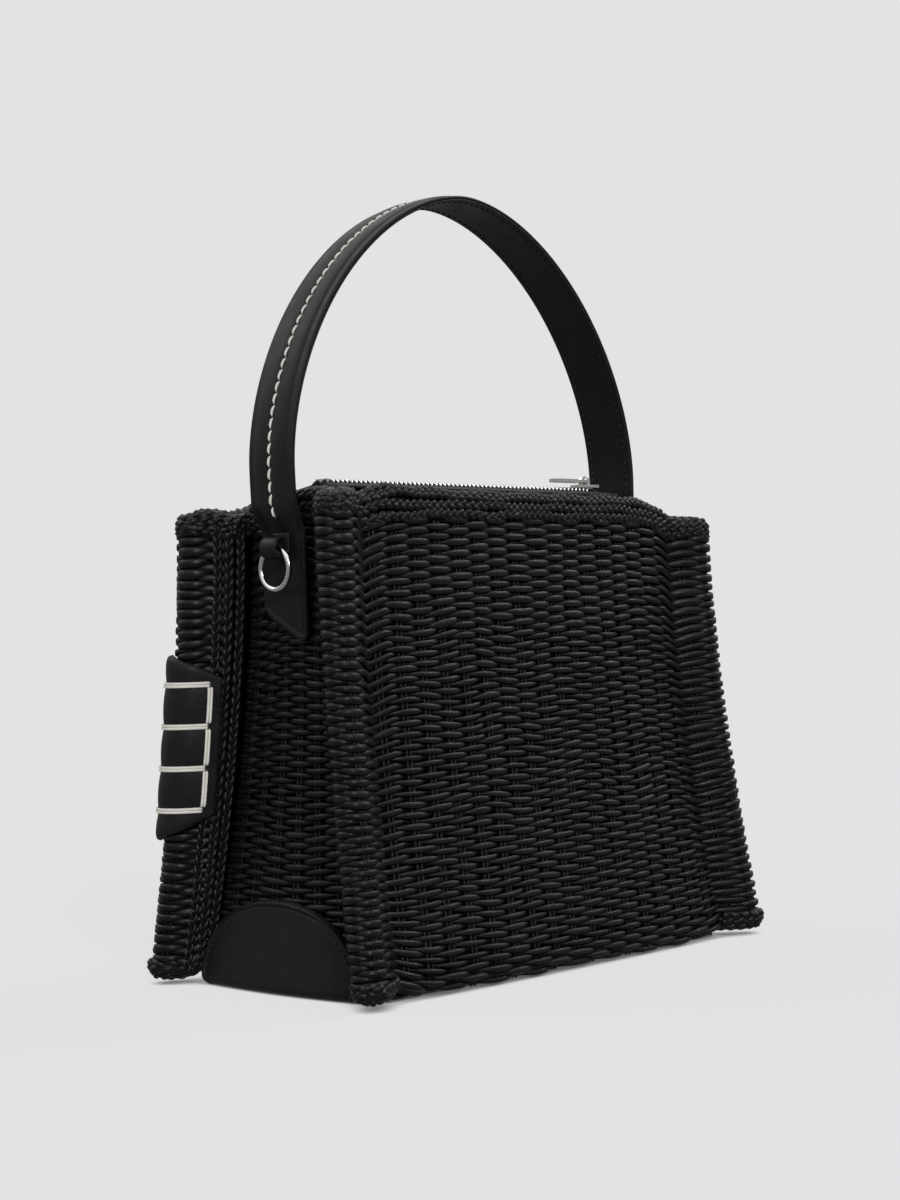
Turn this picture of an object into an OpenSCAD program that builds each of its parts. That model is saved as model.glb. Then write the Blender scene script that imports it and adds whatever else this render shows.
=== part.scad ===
// Basket box bag: a woven box with folded corner fins, a leather arch handle, hanging rings and a zip.
// Millimetres. X runs along the bag, Y across it and Z up from the surface that it stands on.

/* [Basket] */
// Height of the woven walls, below the plaited rim
wall_h = 187; // [150:0.5:220]
// Half length between the fins' edge centres at the rim
fin_x_top = 111.5; // [95:0.1:130]
// Half length between the fins' edge centres at the foot
fin_x_foot = 117.5; // [100:0.1:135]
// Half depth between the fins' edge centres at the rim
fin_y_top = 41; // [38:0.1:60]
// Half depth between the fins' edge centres at the foot
fin_y_foot = 60; // [50:0.1:80]
// How late the walls flare towards the foot
flare_power = 1.66; // [1:0.02:2.4]
// Thickness of the woven walls
wall_t = 5; // [4:0.1:7]
// Outward swell of the broad faces
face_bulge = 4; // [1:0.1:7]
// Outward swell of the gussets at the foot
gusset_bulge = 10; // [2:0.1:12]
// How far the gussets stand back from the roots of the fins
gusset_setback = 6.5; // [3:0.1:9]
// Radius of the rounded foot of the broad faces
foot_r = 8; // [6:0.5:18]
// Drop of the rim at the corner creases
crease_dip = 7.5; // [2:0.1:9]
// Drop of the rim over the fins
fin_dip = 2.5; // [1:0.1:6]
// Height of the walls' lower edges above the floor
wall_lift = 1.2; // [1:0.1:3]
// Height of the notch at the foot of each corner crease
crease_lift = 7; // [4:0.1:9]
// Height of the fins' lower ends above the floor
fin_lift = 4; // [1.5:0.1:6]
// Thickness of the woven base
base_t = 5; // [3.5:0.1:7]

/* [Fins] */
// Length of a fin from its root to the centre of its rounded edge
fin_length = 15; // [10:0.5:20]
// Half the thickness of a folded fin
fin_r = 6; // [5:0.1:8]
// Angle of a fin to the length of the bag
fin_angle = 30; // [15:1:40]

/* [Weave] */
// Height of one row of weft
row_pitch = 2.45; // [2.2:0.05:3.6]
// Spacing of the stakes that the weft passes over and under
stroke_pitch = 12.6; // [10:0.1:20]
// How far a stroke stands out of its wall in front of a stake
ridge_h = 1.6; // [0.8:0.1:2.2]
// How far the row lies back behind the next stake
ridge_dip = 1.2; // [0.4:0.1:1.8]
// Width of the plaited selvedges of the gussets
border_w = 5; // [3:0.1:6]
// How far those selvedges stand out
border_h = 1.5; // [0.8:0.1:2]
// Spacing of the ridges under the base
base_pitch = 6.1; // [5:0.1:9]
// Width of the lanes between those ridges
base_lane = 2; // [1:0.1:3]
// Gap between pieces that are laced or sewn together
seam = 0.3; // [0.2:0.05:0.5]

/* [Rim] */
// Thickness of the plait round the mouth
plait_d = 5.8; // [4.5:0.1:5.9]
// Length of one lobe of the plait
plait_lobe = 10; // [7:0.1:14]
// Share of its thickness that the plait loses between lobes
plait_waist = 0.14; // [0.05:0.01:0.3]

/* [Handle] */
// Height of the middle of the strap at the top of the arch
handle_z = 320; // [280:1:360]
// How far the arch stands out past the ends of the strap
arch_flare = 0.5; // [0:0.1:6]
// Height above the walls where the arch springs from the legs
spring_rise = 20; // [12:0.5:35]
// Fullness of the arch: 2 is an ellipse
arch_power = 1.8; // [1.6:0.05:2.4]
// Width of the strap
strap_w = 25; // [18:0.5:32]
// Thickness of the outer strap
strap_t = 2.6; // [1.8:0.1:4]
// Thickness of the inner strap
backing_t = 1.8; // [1.2:0.1:2.5]
// Height of the padding on the outer strap
pad_h = 1.2; // [0.6:0.1:2]
// Bare margin on each side of the padding
pad_margin = 3.5; // [2:0.1:6]
// Depth below the walls' top at which the strap ends
strap_end_drop = 6.5; // [4:0.1:9]
// Length of padding left off at each end of the strap
pad_end = 5; // [2:0.1:10]

/* [Tabs and rings] */
// Depth below the walls' top of the tip of a tab
tab_tip_drop = 50; // [40:0.5:70]
// Rise of the slanted end of a tab across its width
tab_slant = 14; // [4:0.5:18]
// Width of a tab
tab_w = 24; // [18:0.5:30]
// Thickness of a tab
tab_t = 1.7; // [1:0.1:2.5]
// Radius of a tab's corners
tab_corner = 3; // [1:0.1:5]
// Width of the leather loop that holds a ring
loop_w = 9.5; // [5:0.1:11]
// Thickness of the leather of that loop
loop_t = 1.4; // [1:0.1:2]
// Radius to the middle of a ring's wire
ring_r = 8.2; // [7.5:0.1:12]
// Thickness of a ring's wire
ring_wire = 2.4; // [1.6:0.1:3]
// Play of the ring's wire in its loop
ring_play = 0.3; // [0.2:0.05:0.6]

/* [Leather patches] */
// Half width of the half-round patches at the foot of the gussets
patch_half_w = 46; // [35:0.5:48]
// Height of those patches
patch_h = 33.5; // [25:0.5:45]
// Thickness of the leather patches
patch_t = 2; // [1.2:0.1:2.6]
// Height of the middle of the leather sleeve on the back left fin
wrap_z = 94; // [70:1:120]
// Height of that sleeve round the edge of the fin
wrap_h = 74; // [50:1:90]
// How much shorter the sleeve is at each of its side edges, above and below
wrap_slant = 10; // [0:0.5:14]
// Thickness of the sleeve
wrap_t = 2.2; // [1:0.1:3]
// Spacing of the lacing round the sleeve
lace_pitch = 16.8; // [12:0.1:20]
// Width of a stitch of the lacing
lace_w = 2.2; // [1.4:0.1:3]
// Thickness of a stitch of the lacing
lace_t = 1.2; // [0.8:0.1:1.6]

/* [Zip] */
// Height of the zip above the walls' top
zip_rise = 14; // [12:0.1:20]
// How far inside the mouth the teeth start
zip_start_inset = 12; // [11:0.5:30]
// How far inside the mouth the teeth end
zip_end_inset = 4; // [3:0.5:30]
// Spacing of the teeth on one side
tooth_pitch = 2.6; // [2.4:0.1:4]
// Thickness of a tooth along the zip
tooth_t = 1.1; // [0.8:0.1:1.15]
// Height of a tooth
tooth_h = 2.6; // [1.6:0.1:3]
// Half width of the row of teeth
chain_half_w = 3.2; // [2.6:0.1:4]
// Half width of the slot that the slider's post passes through
post_slot = 0.7; // [0.6:0.05:1]
// Width of one tape
tape_w = 11.5; // [9:0.5:14]
// Thickness of the tape
tape_t = 0.8; // [0.5:0.1:1.2]
// Drop of the tape at the start of the zip
tape_drop = 6; // [2:0.5:8]
// Length over which the tape drops
tape_bend = 9; // [6:0.5:10]
// Thickness of the cloth between the rim and the tapes
cloth_t = 1.4; // [0.8:0.1:2]
// Length of the slider
slider_l = 12; // [9:0.5:14]
// Width of the slider
slider_w = 8.8; // [8:0.1:11]
// Width of the slider at its nose
slider_nose_w = 5.3; // [4:0.1:8]
// Thickness of the slider's two plates
slider_plate = 1.2; // [0.8:0.1:1.6]
// Length of the pull
pull_l = 22; // [14:0.5:24]
// Width of the pull
pull_w = 6; // [4.5:0.1:8]
// Thickness of the pull
pull_t = 1.4; // [1:0.1:2]
// Radius of the pull's pivot pin
pivot_r = 0.8; // [0.6:0.05:1]
// Running clearance of the zip's metal pieces
zip_play = 0.3; // [0.2:0.05:0.4]
// Thickness of the lining
lining_t = 1; // [0.6:0.1:1.6]

/* [Hidden] */
$fn = 48;
wicker = "#1b1b1d";
leather = "#202022";
thread = "#e9e6dc";
metal = "#c9cbcd";
cloth = "#141416";

// Plan of one corner, drawn in the quadrant where X and Y are positive
fin_dir = [cos(fin_angle), sin(fin_angle)];
fin_out = [-sin(fin_angle), cos(fin_angle)];
function flare(z) = pow(max(0, 1 - z / wall_h), flare_power);
function fin_edge(z) = [
    fin_x_top + (fin_x_foot - fin_x_top) * flare(z),
    fin_y_top + (fin_y_foot - fin_y_top) * flare(z)
];
function fin_spot(z, along, across) = fin_edge(z) + along * fin_dir + across * fin_out;
function crease(z) = fin_spot(z, -fin_length, fin_r);
function inner_root(z) = fin_spot(z, -fin_length, -fin_r);

// Stations round a fin, from its inner root over its edge to the crease: along, across, normal, weave column
PLAIN = -1;
PLAITED = -2;
side_stroke = 0.6 * fin_length;
edge_turn = 60;
turn_c = cos(edge_turn);
turn_s = sin(edge_turn);
fin_stations = [
    [-fin_length, -fin_r, 0, -1, PLAIN],
    [-side_stroke, -fin_r, 0, -1, 0],
    [fin_r * turn_c, -fin_r * turn_s, turn_c, -turn_s, 1],
    [fin_r, 0, 1, 0, PLAIN],
    [fin_r * turn_c, fin_r * turn_s, turn_c, turn_s, 2],
    [-side_stroke, fin_r, 0, 1, 3],
    [-fin_length, fin_r, 0, 1, PLAIN]
];
fin_columns = 4;
fin_n = len(fin_stations);
function station_spot(s, z, out) = fin_spot(z, s[0] + out * s[2], s[1] + out * s[3]);
function fin_blend(s) = min(1, (s[0] + fin_length) / (fin_length / 2));
function fin_top(s) = wall_h - crease_dip + (crease_dip - fin_dip) * fin_blend(s);
function fin_foot(s) = crease_lift + (fin_lift - crease_lift) * fin_blend(s);

// Broad face: f runs from 1 at the right crease to -1 at the left one
face_n = round(2 * crease(wall_h)[0] / stroke_pitch);
rim_curl = 8;
foot_curl = 6;
function face_share(j) = 1 - (2 * j + 1) / face_n;
function face_top(f) = wall_h - crease_dip * pow(abs(f), rim_curl);
function face_foot(f) = wall_lift + (crease_lift - wall_lift) * pow(abs(f), rim_curl);
function foot_turn(z) = z < foot_r ? foot_r - sqrt(pow(foot_r, 2) - pow(foot_r - z, 2)) : 0;
function face_y(f, z) =
    crease(z)[1] + face_bulge * (1 - pow(f, 4)) - foot_turn(z) * (1 - pow(f, foot_curl));
function face_spot(f, z, out) = [crease(z)[0] * f, face_y(f, z) + out];

// Gusset: g runs from -1 at the front seam to 1 at the back seam
gusset_n = 2 * round(inner_root(wall_h / 2)[1] / stroke_pitch);
function gusset_half(z) = inner_root(z)[1] - seam;
function gusset_top(g) = wall_h - crease_dip * pow(g, 4);
function gusset_x(g, z) = inner_root(z)[0] - gusset_setback + gusset_bulge * flare(z) * (1 - g * g);
function gusset_spot(g, z, out) = [gusset_x(g, z) + out, gusset_half(z) * g];
gusset_shares = concat(
    [-1, border_w / 2 / inner_root(wall_h)[1] - 1],
    [for (j = [0 : gusset_n - 1]) ((2 * j + 1) / gusset_n - 1) * (1 - border_w / inner_root(wall_h)[1])],
    [1 - border_w / 2 / inner_root(wall_h)[1], 1]
);
gusset_last = len(gusset_shares) - 1;

// Weave: a level is the middle of a row, and each row passes in front of one stake and behind the next
row_n = round((wall_h - wall_lift) / row_pitch);
level_n = row_n + 1;
border_waist = 0.6;
function level_share(level) = level == 0 ? 0 : level == level_n ? 1 : (level - 0.5) / row_n;
function relief(level, column) =
    level == 0 || level == level_n || column == PLAIN ? 0
    : column == PLAITED ? border_h * (level % 2 == 1 ? 1 : border_waist)
    : (level + column) % 2 == 1 ? ridge_h : -ridge_dip;
function rise(low, high, share) = low + (high - low) * share;

// Shell between an outer and an inner sheet of points; to_k and to_l give the inner point beside each outer one
function shell_points(outer, inner) = concat([for (row = outer) each row], [for (row = inner) each row]);
function shell_faces(outer, inner, to_k, to_l) =
    let (
        nk = len(outer[0]), nl = len(outer), mk = len(inner[0]), ml = len(inner), base = nk * nl,
        o = function (l, k) l * nk + k,
        i = function (l, k) base + l * mk + k,
        top = nl - 1, end = nk - 1, in_top = ml - 1, in_end = mk - 1
    )
    concat(
        [for (l = [0 : top - 1], k = [0 : end - 1]) each
            [[o(l, k), o(l + 1, k), o(l + 1, k + 1)], [o(l, k), o(l + 1, k + 1), o(l, k + 1)]]],
        [for (l = [0 : in_top - 1], k = [0 : in_end - 1]) each
            [[i(l, k), i(l + 1, k + 1), i(l + 1, k)], [i(l, k), i(l, k + 1), i(l + 1, k + 1)]]],
        [for (k = [0 : end - 1]) each
            [[o(top, k + 1), o(top, k), i(in_top, to_k[k])], [o(0, k), o(0, k + 1), i(0, to_k[k])]]],
        [for (k = [0 : end - 1]) if (to_k[k + 1] != to_k[k]) each [
            [o(top, k + 1), i(in_top, to_k[k]), i(in_top, to_k[k + 1])],
            [o(0, k + 1), i(0, to_k[k + 1]), i(0, to_k[k])]
        ]],
        [for (l = [0 : top - 1]) each [
            [o(l, 0), i(to_l[l], 0), o(l + 1, 0)],
            [o(l, end), o(l + 1, end), i(to_l[l], in_end)]
        ]],
        [for (l = [0 : top - 1]) if (to_l[l + 1] != to_l[l]) each [
            [i(to_l[l], 0), i(to_l[l + 1], 0), o(l + 1, 0)],
            [i(to_l[l], in_end), o(l + 1, end), i(to_l[l + 1], in_end)]
        ]]
    );
module shell(outer, inner, to_k, to_l) {
    polyhedron(shell_points(outer, inner), shell_faces(outer, inner, to_k, to_l), convexity = 6);
}
module even_shell(outer, inner) {
    shell(outer, inner, [for (k = [0 : len(outer[0]) - 1]) k], [for (l = [0 : len(outer) - 1]) l]);
}

// The inner sheets are smooth, so they have fewer levels, closer together at the rounded foot
inner_shares = [0, 0.02, 0.05, 0.1, 0.25, 0.5, 0.75, 1];
function last_below(share) = max([for (m = [0 : len(inner_shares) - 1]) if (inner_shares[m] <= share) m]);
level_to_inner = [for (l = [0 : level_n]) last_below(level_share(l))];

// Back panel: right fin, broad face and left fin as one sheet
function flip_x(p) = [-p[0], p[1], p[2]];
function fin_point(s, share, out) =
    let (z = rise(fin_foot(s), fin_top(s), share), p = station_spot(s, z, out)) [p[0], p[1], z];
function face_point(f, share, out) =
    let (z = rise(face_foot(f), face_top(f), share), p = face_spot(f, z, out)) [p[0], p[1], z];
function corner_point(share) =
    let (z = rise(crease_lift, wall_h - crease_dip, share), p = inner_root(z))
    [p[0] - gusset_setback - wall_t - seam, p[1], z];
function panel_row(level) =
    let (
        share = level_share(level),
        fin = [for (s = fin_stations) fin_point(s, share, relief(level, s[4]))],
        face = [for (j = [0 : face_n - 1]) face_point(face_share(j), share, relief(level, fin_columns + j))]
    )
    concat(fin, face, [for (q = [fin_n - 1 : -1 : 0]) flip_x(fin[q])]);
inner_n = 6;
function inner_share(j) = 1 - (2 * j + 1) / inner_n;
function panel_inner_row(share) = concat(
    [corner_point(share)],
    [for (j = [0 : inner_n - 1]) face_point(inner_share(j), share, -wall_t)],
    [flip_x(corner_point(share))]
);
panel_to_inner = concat(
    [for (q = [1 : fin_n]) 0],
    [for (j = [0 : face_n - 1]) 1 + floor(j * inner_n / face_n)],
    [for (q = [1 : fin_n]) inner_n + 1]
);
module woven_panel() {
    shell(
        [for (level = [0 : level_n]) panel_row(level)],
        [for (share = inner_shares) panel_inner_row(share)],
        panel_to_inner,
        level_to_inner
    );
}

// Right gusset
function gusset_point(g, share, out) =
    let (z = rise(wall_lift, gusset_top(g), share), p = gusset_spot(g, z, out)) [p[0], p[1], z];
function gusset_column(k) =
    k == 0 || k == gusset_last ? PLAIN : k == 1 || k == gusset_last - 1 ? PLAITED : k - 2;
gusset_inner_shares = [-1, -0.4, 0.4, 1];
function gusset_to_inner(g) = g < -0.7 ? 0 : g < 0 ? 1 : g < 0.7 ? 2 : 3;
module gusset() {
    shell(
        [for (level = [0 : level_n]) [for (k = [0 : gusset_last])
            gusset_point(gusset_shares[k], level_share(level), relief(level, gusset_column(k)))]],
        [for (share = inner_shares) [for (g = gusset_inner_shares) gusset_point(g, share, -wall_t)]],
        [for (g = gusset_shares) gusset_to_inner(g)],
        level_to_inner
    );
}

// Outline of the room inside the walls at height z, set in by a gap
function room_quarter(z, gap) =
    let (c = inner_root(z), corner = [c[0] - gusset_setback - wall_t - seam - gap, c[1] - gap])
    concat(
        [gusset_spot(gusset_inner_shares[2], z, -wall_t - gap), corner],
        [for (j = [0 : inner_n / 2 - 1]) face_spot(inner_share(j), z, -wall_t - gap)]
    );
function turned(points) = [for (m = [len(points) - 1 : -1 : 0]) points[m]];
function room(z, gap) =
    let (
        right_back = room_quarter(z, gap),
        left_back = [for (p = turned(right_back)) [-p[0], p[1]]],
        left_front = [for (p = right_back) [-p[0], -p[1]]],
        right_front = [for (p = turned(right_back)) [p[0], -p[1]]]
    )
    concat(right_back, left_back, left_front, right_front);
module loft(levels, gap) {
    rings = [for (z = levels) [for (p = room(z, gap)) [p[0], p[1], z]]];
    n = len(rings[0]);
    top = len(rings) - 1;
    sides = [for (l = [0 : top - 1], k = [0 : n - 1]) let (m = (k + 1) % n) each [
        [l * n + k, (l + 1) * n + k, (l + 1) * n + m],
        [l * n + k, (l + 1) * n + m, l * n + m]
    ]];
    floor_face = [for (k = [0 : n - 1]) k];
    top_face = [for (k = [n - 1 : -1 : 0]) top * n + k];
    polyhedron([for (r = rings) each r], concat(sides, [floor_face, top_face]), convexity = 4);
}

// Rim: the plait lies on top of the walls and over the fins
plait_r = plait_d / 2;
plait_in = fin_r / 2;
plait_sides = 5;
rim_ring = plait_lobe / 2;
rim_top = crease(wall_h)[0];
rim_rise = seam + plait_r;
function steps(length) = max(3, round(length / rim_ring));
face_steps = steps(rim_top);
fin_steps = steps(fin_length);
gusset_steps = steps(inner_root(wall_h)[1]);
turn_steps = 5;
fin_lift_rim = wall_h - fin_dip + rim_rise;
function fin_rim_z(along) =
    rise(wall_h - crease_dip, wall_h - fin_dip, min(1, (along + fin_length) / (fin_length / 2))) + rim_rise;
function fin_rim(along, across) =
    let (p = fin_spot(wall_h, along, across)) [p[0], p[1], fin_rim_z(along)];
rim_quarter = concat(
    [for (m = [0 : face_steps - 1]) let (f = m / face_steps, p = face_spot(f, wall_h, -plait_in))
        [p[0], p[1], face_top(f) + rim_rise]],
    [for (m = [1 : fin_steps]) fin_rim((m / fin_steps - 1) * fin_length, fin_r - plait_in)],
    [for (m = [1 : turn_steps - 1]) let (
        a = 90 - 180 * m / turn_steps,
        p = fin_spot(wall_h, plait_in * cos(a), plait_in * sin(a))
    ) [p[0], p[1], fin_lift_rim]],
    [for (m = [0 : fin_steps - 1]) fin_rim(-m / fin_steps * fin_length, plait_in - fin_r)],
    [for (m = [gusset_steps - 1 : -1 : 0]) let (g = m / gusset_steps, p = gusset_spot(g, wall_h, -plait_in))
        [p[0], p[1], gusset_top(g) + rim_rise]]
);
quarter_last = len(rim_quarter) - 1;
rim_path = concat(
    rim_quarter,
    [for (m = [quarter_last - 1 : -1 : 1]) let (p = rim_quarter[m]) [p[0], -p[1], p[2]]],
    [for (m = [0 : quarter_last]) let (p = rim_quarter[m]) [-p[0], -p[1], p[2]]],
    [for (m = [quarter_last - 1 : -1 : 1]) let (p = rim_quarter[m]) [-p[0], p[1], p[2]]]
);
function unit(v) = v / norm(v);
function rim_side(m) =
    let (n = len(rim_path), d = rim_path[(m + 1) % n] - rim_path[(m + n - 1) % n]) unit([d[1], -d[0], 0]);

// Cloth that closes the top, from the rim up to the zip
zip_z = wall_h + zip_rise;
tape_in = chain_half_w + zip_play;
cloth_edge = tape_in + tape_w / 2;
room_end = gusset_x(0, wall_h) - plait_in - plait_r - seam;
rim_cloth_z = wall_h + cloth_t + seam;
function smooth(t) = let (c = min(1, max(0, t))) c * c * (3 - 2 * c);
zip_start = zip_start_inset - room_end;
zip_end = room_end - zip_end_inset;
tape_end = zip_end + slider_l / 2;
bend_from = 2 * tape_t - zip_start;
function end_drop(x) = tape_drop * smooth((x - bend_from) / tape_bend);
function rim_cloth_y(x) =
    face_y(x / crease(wall_h)[0], wall_h) - plait_in - plait_r - seam;
cloth_columns = 8;
function cloth_point(m, share, down) =
    let (
        x = room_end * (1 - 2 * m / cloth_columns),
        crown = zip_z - tape_t / 2 - seam - end_drop(abs(x))
    )
    [x, rise(rim_cloth_y(x), cloth_edge, share), rise(rim_cloth_z, crown, share) - down];

// Zip slider and pull
slider_x = zip_end;
plate_low = zip_z + tooth_h / 2 + zip_play;
plate_high = plate_low + slider_plate;
under_low = zip_z - tooth_h / 2 - zip_play - slider_plate;
post_half = post_slot - zip_play;
post_l = slider_l / 3;
lug_w = pull_w / 3;
lug_r = pivot_r + zip_play + slider_plate;
pivot_z = plate_high + lug_r - slider_plate / 2;

// Handle: legs that follow the gussets, and an arch between them
tab_tip = wall_h - tab_tip_drop;
tab_x = gusset_x(0, tab_tip) + ridge_h + seam;
tab_face = tab_x + tab_t;
strap_end_z = wall_h - strap_end_drop;
spring_z = wall_h + spring_rise;
strap_in = backing_t + strap_t / 2;
leg_x = tab_face + seam + strap_in;
handle_span = leg_x + arch_flare;
arch_steps = 44;
leg_steps = 6;
function arch_part(c) = sign(c) * pow(abs(c), 2 / arch_power);
function leg_spot(share) =
    [rise(leg_x, handle_span, smooth(share)), rise(strap_end_z, spring_z, share)];
function arch_spot(a) =
    [handle_span * arch_part(cos(a)), spring_z + (handle_z - spring_z) * arch_part(sin(a))];
right_leg = [for (m = [0 : leg_steps - 1]) leg_spot(m / leg_steps)];
handle_path = concat(
    right_leg,
    [for (m = [0 : arch_steps]) arch_spot(180 * m / arch_steps)],
    [for (p = turned(right_leg)) [-p[0], p[1]]]
);
handle_last = len(handle_path) - 1;
function handle_normal(m) =
    let (d = handle_path[min(m + 1, handle_last)] - handle_path[max(m - 1, 0)]) unit([d[1], -d[0]]);
function handle_line(out, first, last) =
    [for (m = [first : last]) handle_path[m] + out * handle_normal(m)];

// Tabs, ring loops and rings
tab_top = wall_h - 2 * seam;
wire_r = ring_wire / 2;
ring_sag = ring_r - sqrt(pow(ring_r, 2) - pow(loop_w / 2, 2));
loop_in = wire_r + ring_sag + ring_play;
loop_out = loop_in + loop_t;
ring_x = tab_face + seam + loop_out;
ring_z = strap_end_z - seam - loop_out - loop_t;

// Foot patches and the leather sleeve
patch_gap = ridge_h + seam;
patch_columns = 12;
patch_levels = 5;
patch_lip_z = wall_lift - seam;
patch_lip_low = max(0, patch_lip_z - patch_t / 2);
patch_under = wall_t;
function patch_row(level, out) =
    let (
        t = level / patch_levels,
        z = patch_h * sin(90 * t),
        half = patch_half_w * cos(90 * min(t, 1 - 1 / (3 * patch_levels)))
    )
    [for (m = [0 : patch_columns]) let (
        y = half * (2 * m / patch_columns - 1),
        zz = max(z, out > 0 ? patch_lip_low : patch_lip_z),
        x = gusset_x(y / gusset_half(zz), zz)
    ) [x + patch_gap + out, y, zz]];
function patch_lip(out) = [for (m = [0 : patch_columns]) let (
        y = patch_half_w * (2 * m / patch_columns - 1),
        z = out > 0 ? patch_lip_low : patch_lip_z
    ) [gusset_x(y / gusset_half(z), z) - patch_under, y, z]];
wrap_gap = ridge_h + seam;
lace_gap = wrap_gap + wrap_t + seam;
wrap_from = 0.65;
wrap_to = 5.65;
wrap_mid = (fin_n - 1) / 2;
wrap_span = wrap_mid - wrap_from;
function wrap_half(u) = wrap_h / 2 - wrap_slant * abs(u - wrap_mid) / wrap_span;
function sleeve_point(u, z, out) =
    let (
        q = min(floor(u), fin_n - 2),
        a = station_spot(fin_stations[q], z, out),
        b = station_spot(fin_stations[q + 1], z, out),
        p = a + (b - a) * (u - q)
    )
    [p[0], p[1], z];
wrap_stops = [wrap_from, 1, 2, 3, 4, 5, wrap_to];
wrap_levels = 6;
lace_rows = [-1.5, -0.5, 0.5, 1.5];
lace_in = 1.25;
lace_out = 2 * wrap_mid - lace_in;
lace_share = 0.18;

module front_panel() {
    mirror([0, 1, 0]) back_panel();
}

module back_panel() {
    color(wicker) woven_panel();
}

module right_gusset() {
    color(wicker) gusset();
}

module left_gusset() {
    mirror([1, 0, 0]) right_gusset();
}

module base_mat() {
    outline = room(base_t, seam);
    low_outline = room(wall_lift, seam);
    lanes = floor(2 * fin_y_foot / base_pitch);
    color(wicker) difference() {
        intersection() {
            linear_extrude(base_t) polygon(outline);
            linear_extrude(base_t) polygon(low_outline);
        }
        for (m = [-lanes : lanes])
            translate([0, (m + 0.5) * base_pitch, 0])
                rotate([0, 90, 0])
                    cylinder(d = base_lane, h = 2 * fin_x_foot, center = true);
    }
}

module rim_plait() {
    n = len(rim_path);
    points = [for (m = [0 : n - 1], j = [0 : plait_sides - 1]) let (
        r = plait_r * (1 - plait_waist * (m % 2)),
        a = 360 * j / plait_sides
    ) rim_path[m] + r * (cos(a) * rim_side(m) + sin(a) * [0, 0, 1])];
    faces = [for (m = [0 : n - 1], j = [0 : plait_sides - 1]) let (
        a = m * plait_sides,
        b = ((m + 1) % n) * plait_sides,
        k = (j + 1) % plait_sides
    ) each [[a + j, a + k, b + k], [a + j, b + k, b + j]]];
    color(wicker) polyhedron(points, faces, convexity = 8);
}

module lining() {
    gap = max(0, plait_in + plait_r - wall_t) + seam;
    low = base_t + seam;
    high = rim_cloth_z - cloth_t - seam;
    rows = concat([for (share = [0, 0.3, 1]) rise(low, foot_r, share)],
        [for (share = [0.3, 0.6, 1]) rise(foot_r, high, share)]);
    inner_rows = concat([low + lining_t, foot_r], [for (share = [0.3, 0.6, 1.1]) rise(foot_r, high, share)]);
    color(cloth) difference() {
        loft(rows, gap);
        loft(inner_rows, gap + lining_t);
    }
}

module top_panel_back() {
    rows = [0, 0.5, 1];
    color(cloth) even_shell(
        [for (share = rows) [for (m = [0 : cloth_columns]) cloth_point(m, share, 0)]],
        [for (share = rows) [for (m = [0 : cloth_columns]) cloth_point(m, share, cloth_t)]]
    );
}

module top_panel_front() {
    mirror([0, 1, 0]) top_panel_back();
}

module zip_tape_back() {
    bend_steps = 6;
    bend = [for (m = [bend_steps : -1 : 0]) let (x = bend_from + tape_bend * m / bend_steps)
        [-x, zip_z - end_drop(x)]];
    line = concat(bend, [[tape_end, zip_z]]);
    color(cloth)
        translate([0, tape_in + tape_w, 0])
            rotate([90, 0, 0])
                linear_extrude(tape_w)
                    polygon(concat(
                        [for (p = line) p + [0, tape_t / 2]],
                        [for (p = turned(line)) p - [0, tape_t / 2]]
                    ));
}

module zip_tape_front() {
    mirror([0, 1, 0]) zip_tape_back();
}

module teeth(shift) {
    count = floor((zip_end - zip_start - shift) / tooth_pitch);
    for (m = [0 : count - 1])
        translate([zip_start + shift + m * tooth_pitch, post_slot, zip_z - tooth_h / 2])
            cube([tooth_t, chain_half_w - post_slot, tooth_h]);
}

module zip_teeth_back() {
    color(metal) teeth(0);
}

module zip_teeth_front() {
    color(metal) mirror([0, 1, 0]) teeth(tooth_pitch / 2);
}

module zip_stop() {
    color(metal)
        translate([zip_start - tape_t - tooth_t, -chain_half_w, zip_z - tooth_h / 2])
            cube([tooth_t, 2 * chain_half_w, tooth_h]);
}

module slider_plan() {
    polygon([
        [-slider_l / 2, -slider_nose_w / 2], [slider_l / 6, -slider_w / 2], [slider_l / 2, -slider_w / 2],
        [slider_l / 2, slider_w / 2], [slider_l / 6, slider_w / 2], [-slider_l / 2, slider_nose_w / 2]
    ]);
}

module zip_slider() {
    color(metal) translate([slider_x, 0, 0]) {
        difference() {
            union() {
                translate([0, 0, plate_low]) linear_extrude(slider_plate) slider_plan();
                translate([0, 0, pivot_z])
                    rotate([90, 0, 0]) cylinder(r = lug_r, h = lug_w, center = true);
                translate([-lug_r, -lug_w / 2, plate_low])
                    cube([2 * lug_r, lug_w, pivot_z - plate_low]);
            }
            translate([0, 0, pivot_z])
                rotate([90, 0, 0]) cylinder(r = pivot_r + zip_play, h = 2 * lug_w, center = true);
        }
        translate([0, 0, under_low]) linear_extrude(slider_plate) slider_plan();
        translate([slider_l / 2 - post_l, -post_half, under_low])
            cube([post_l, 2 * post_half, plate_high - under_low]);
    }
}

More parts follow.
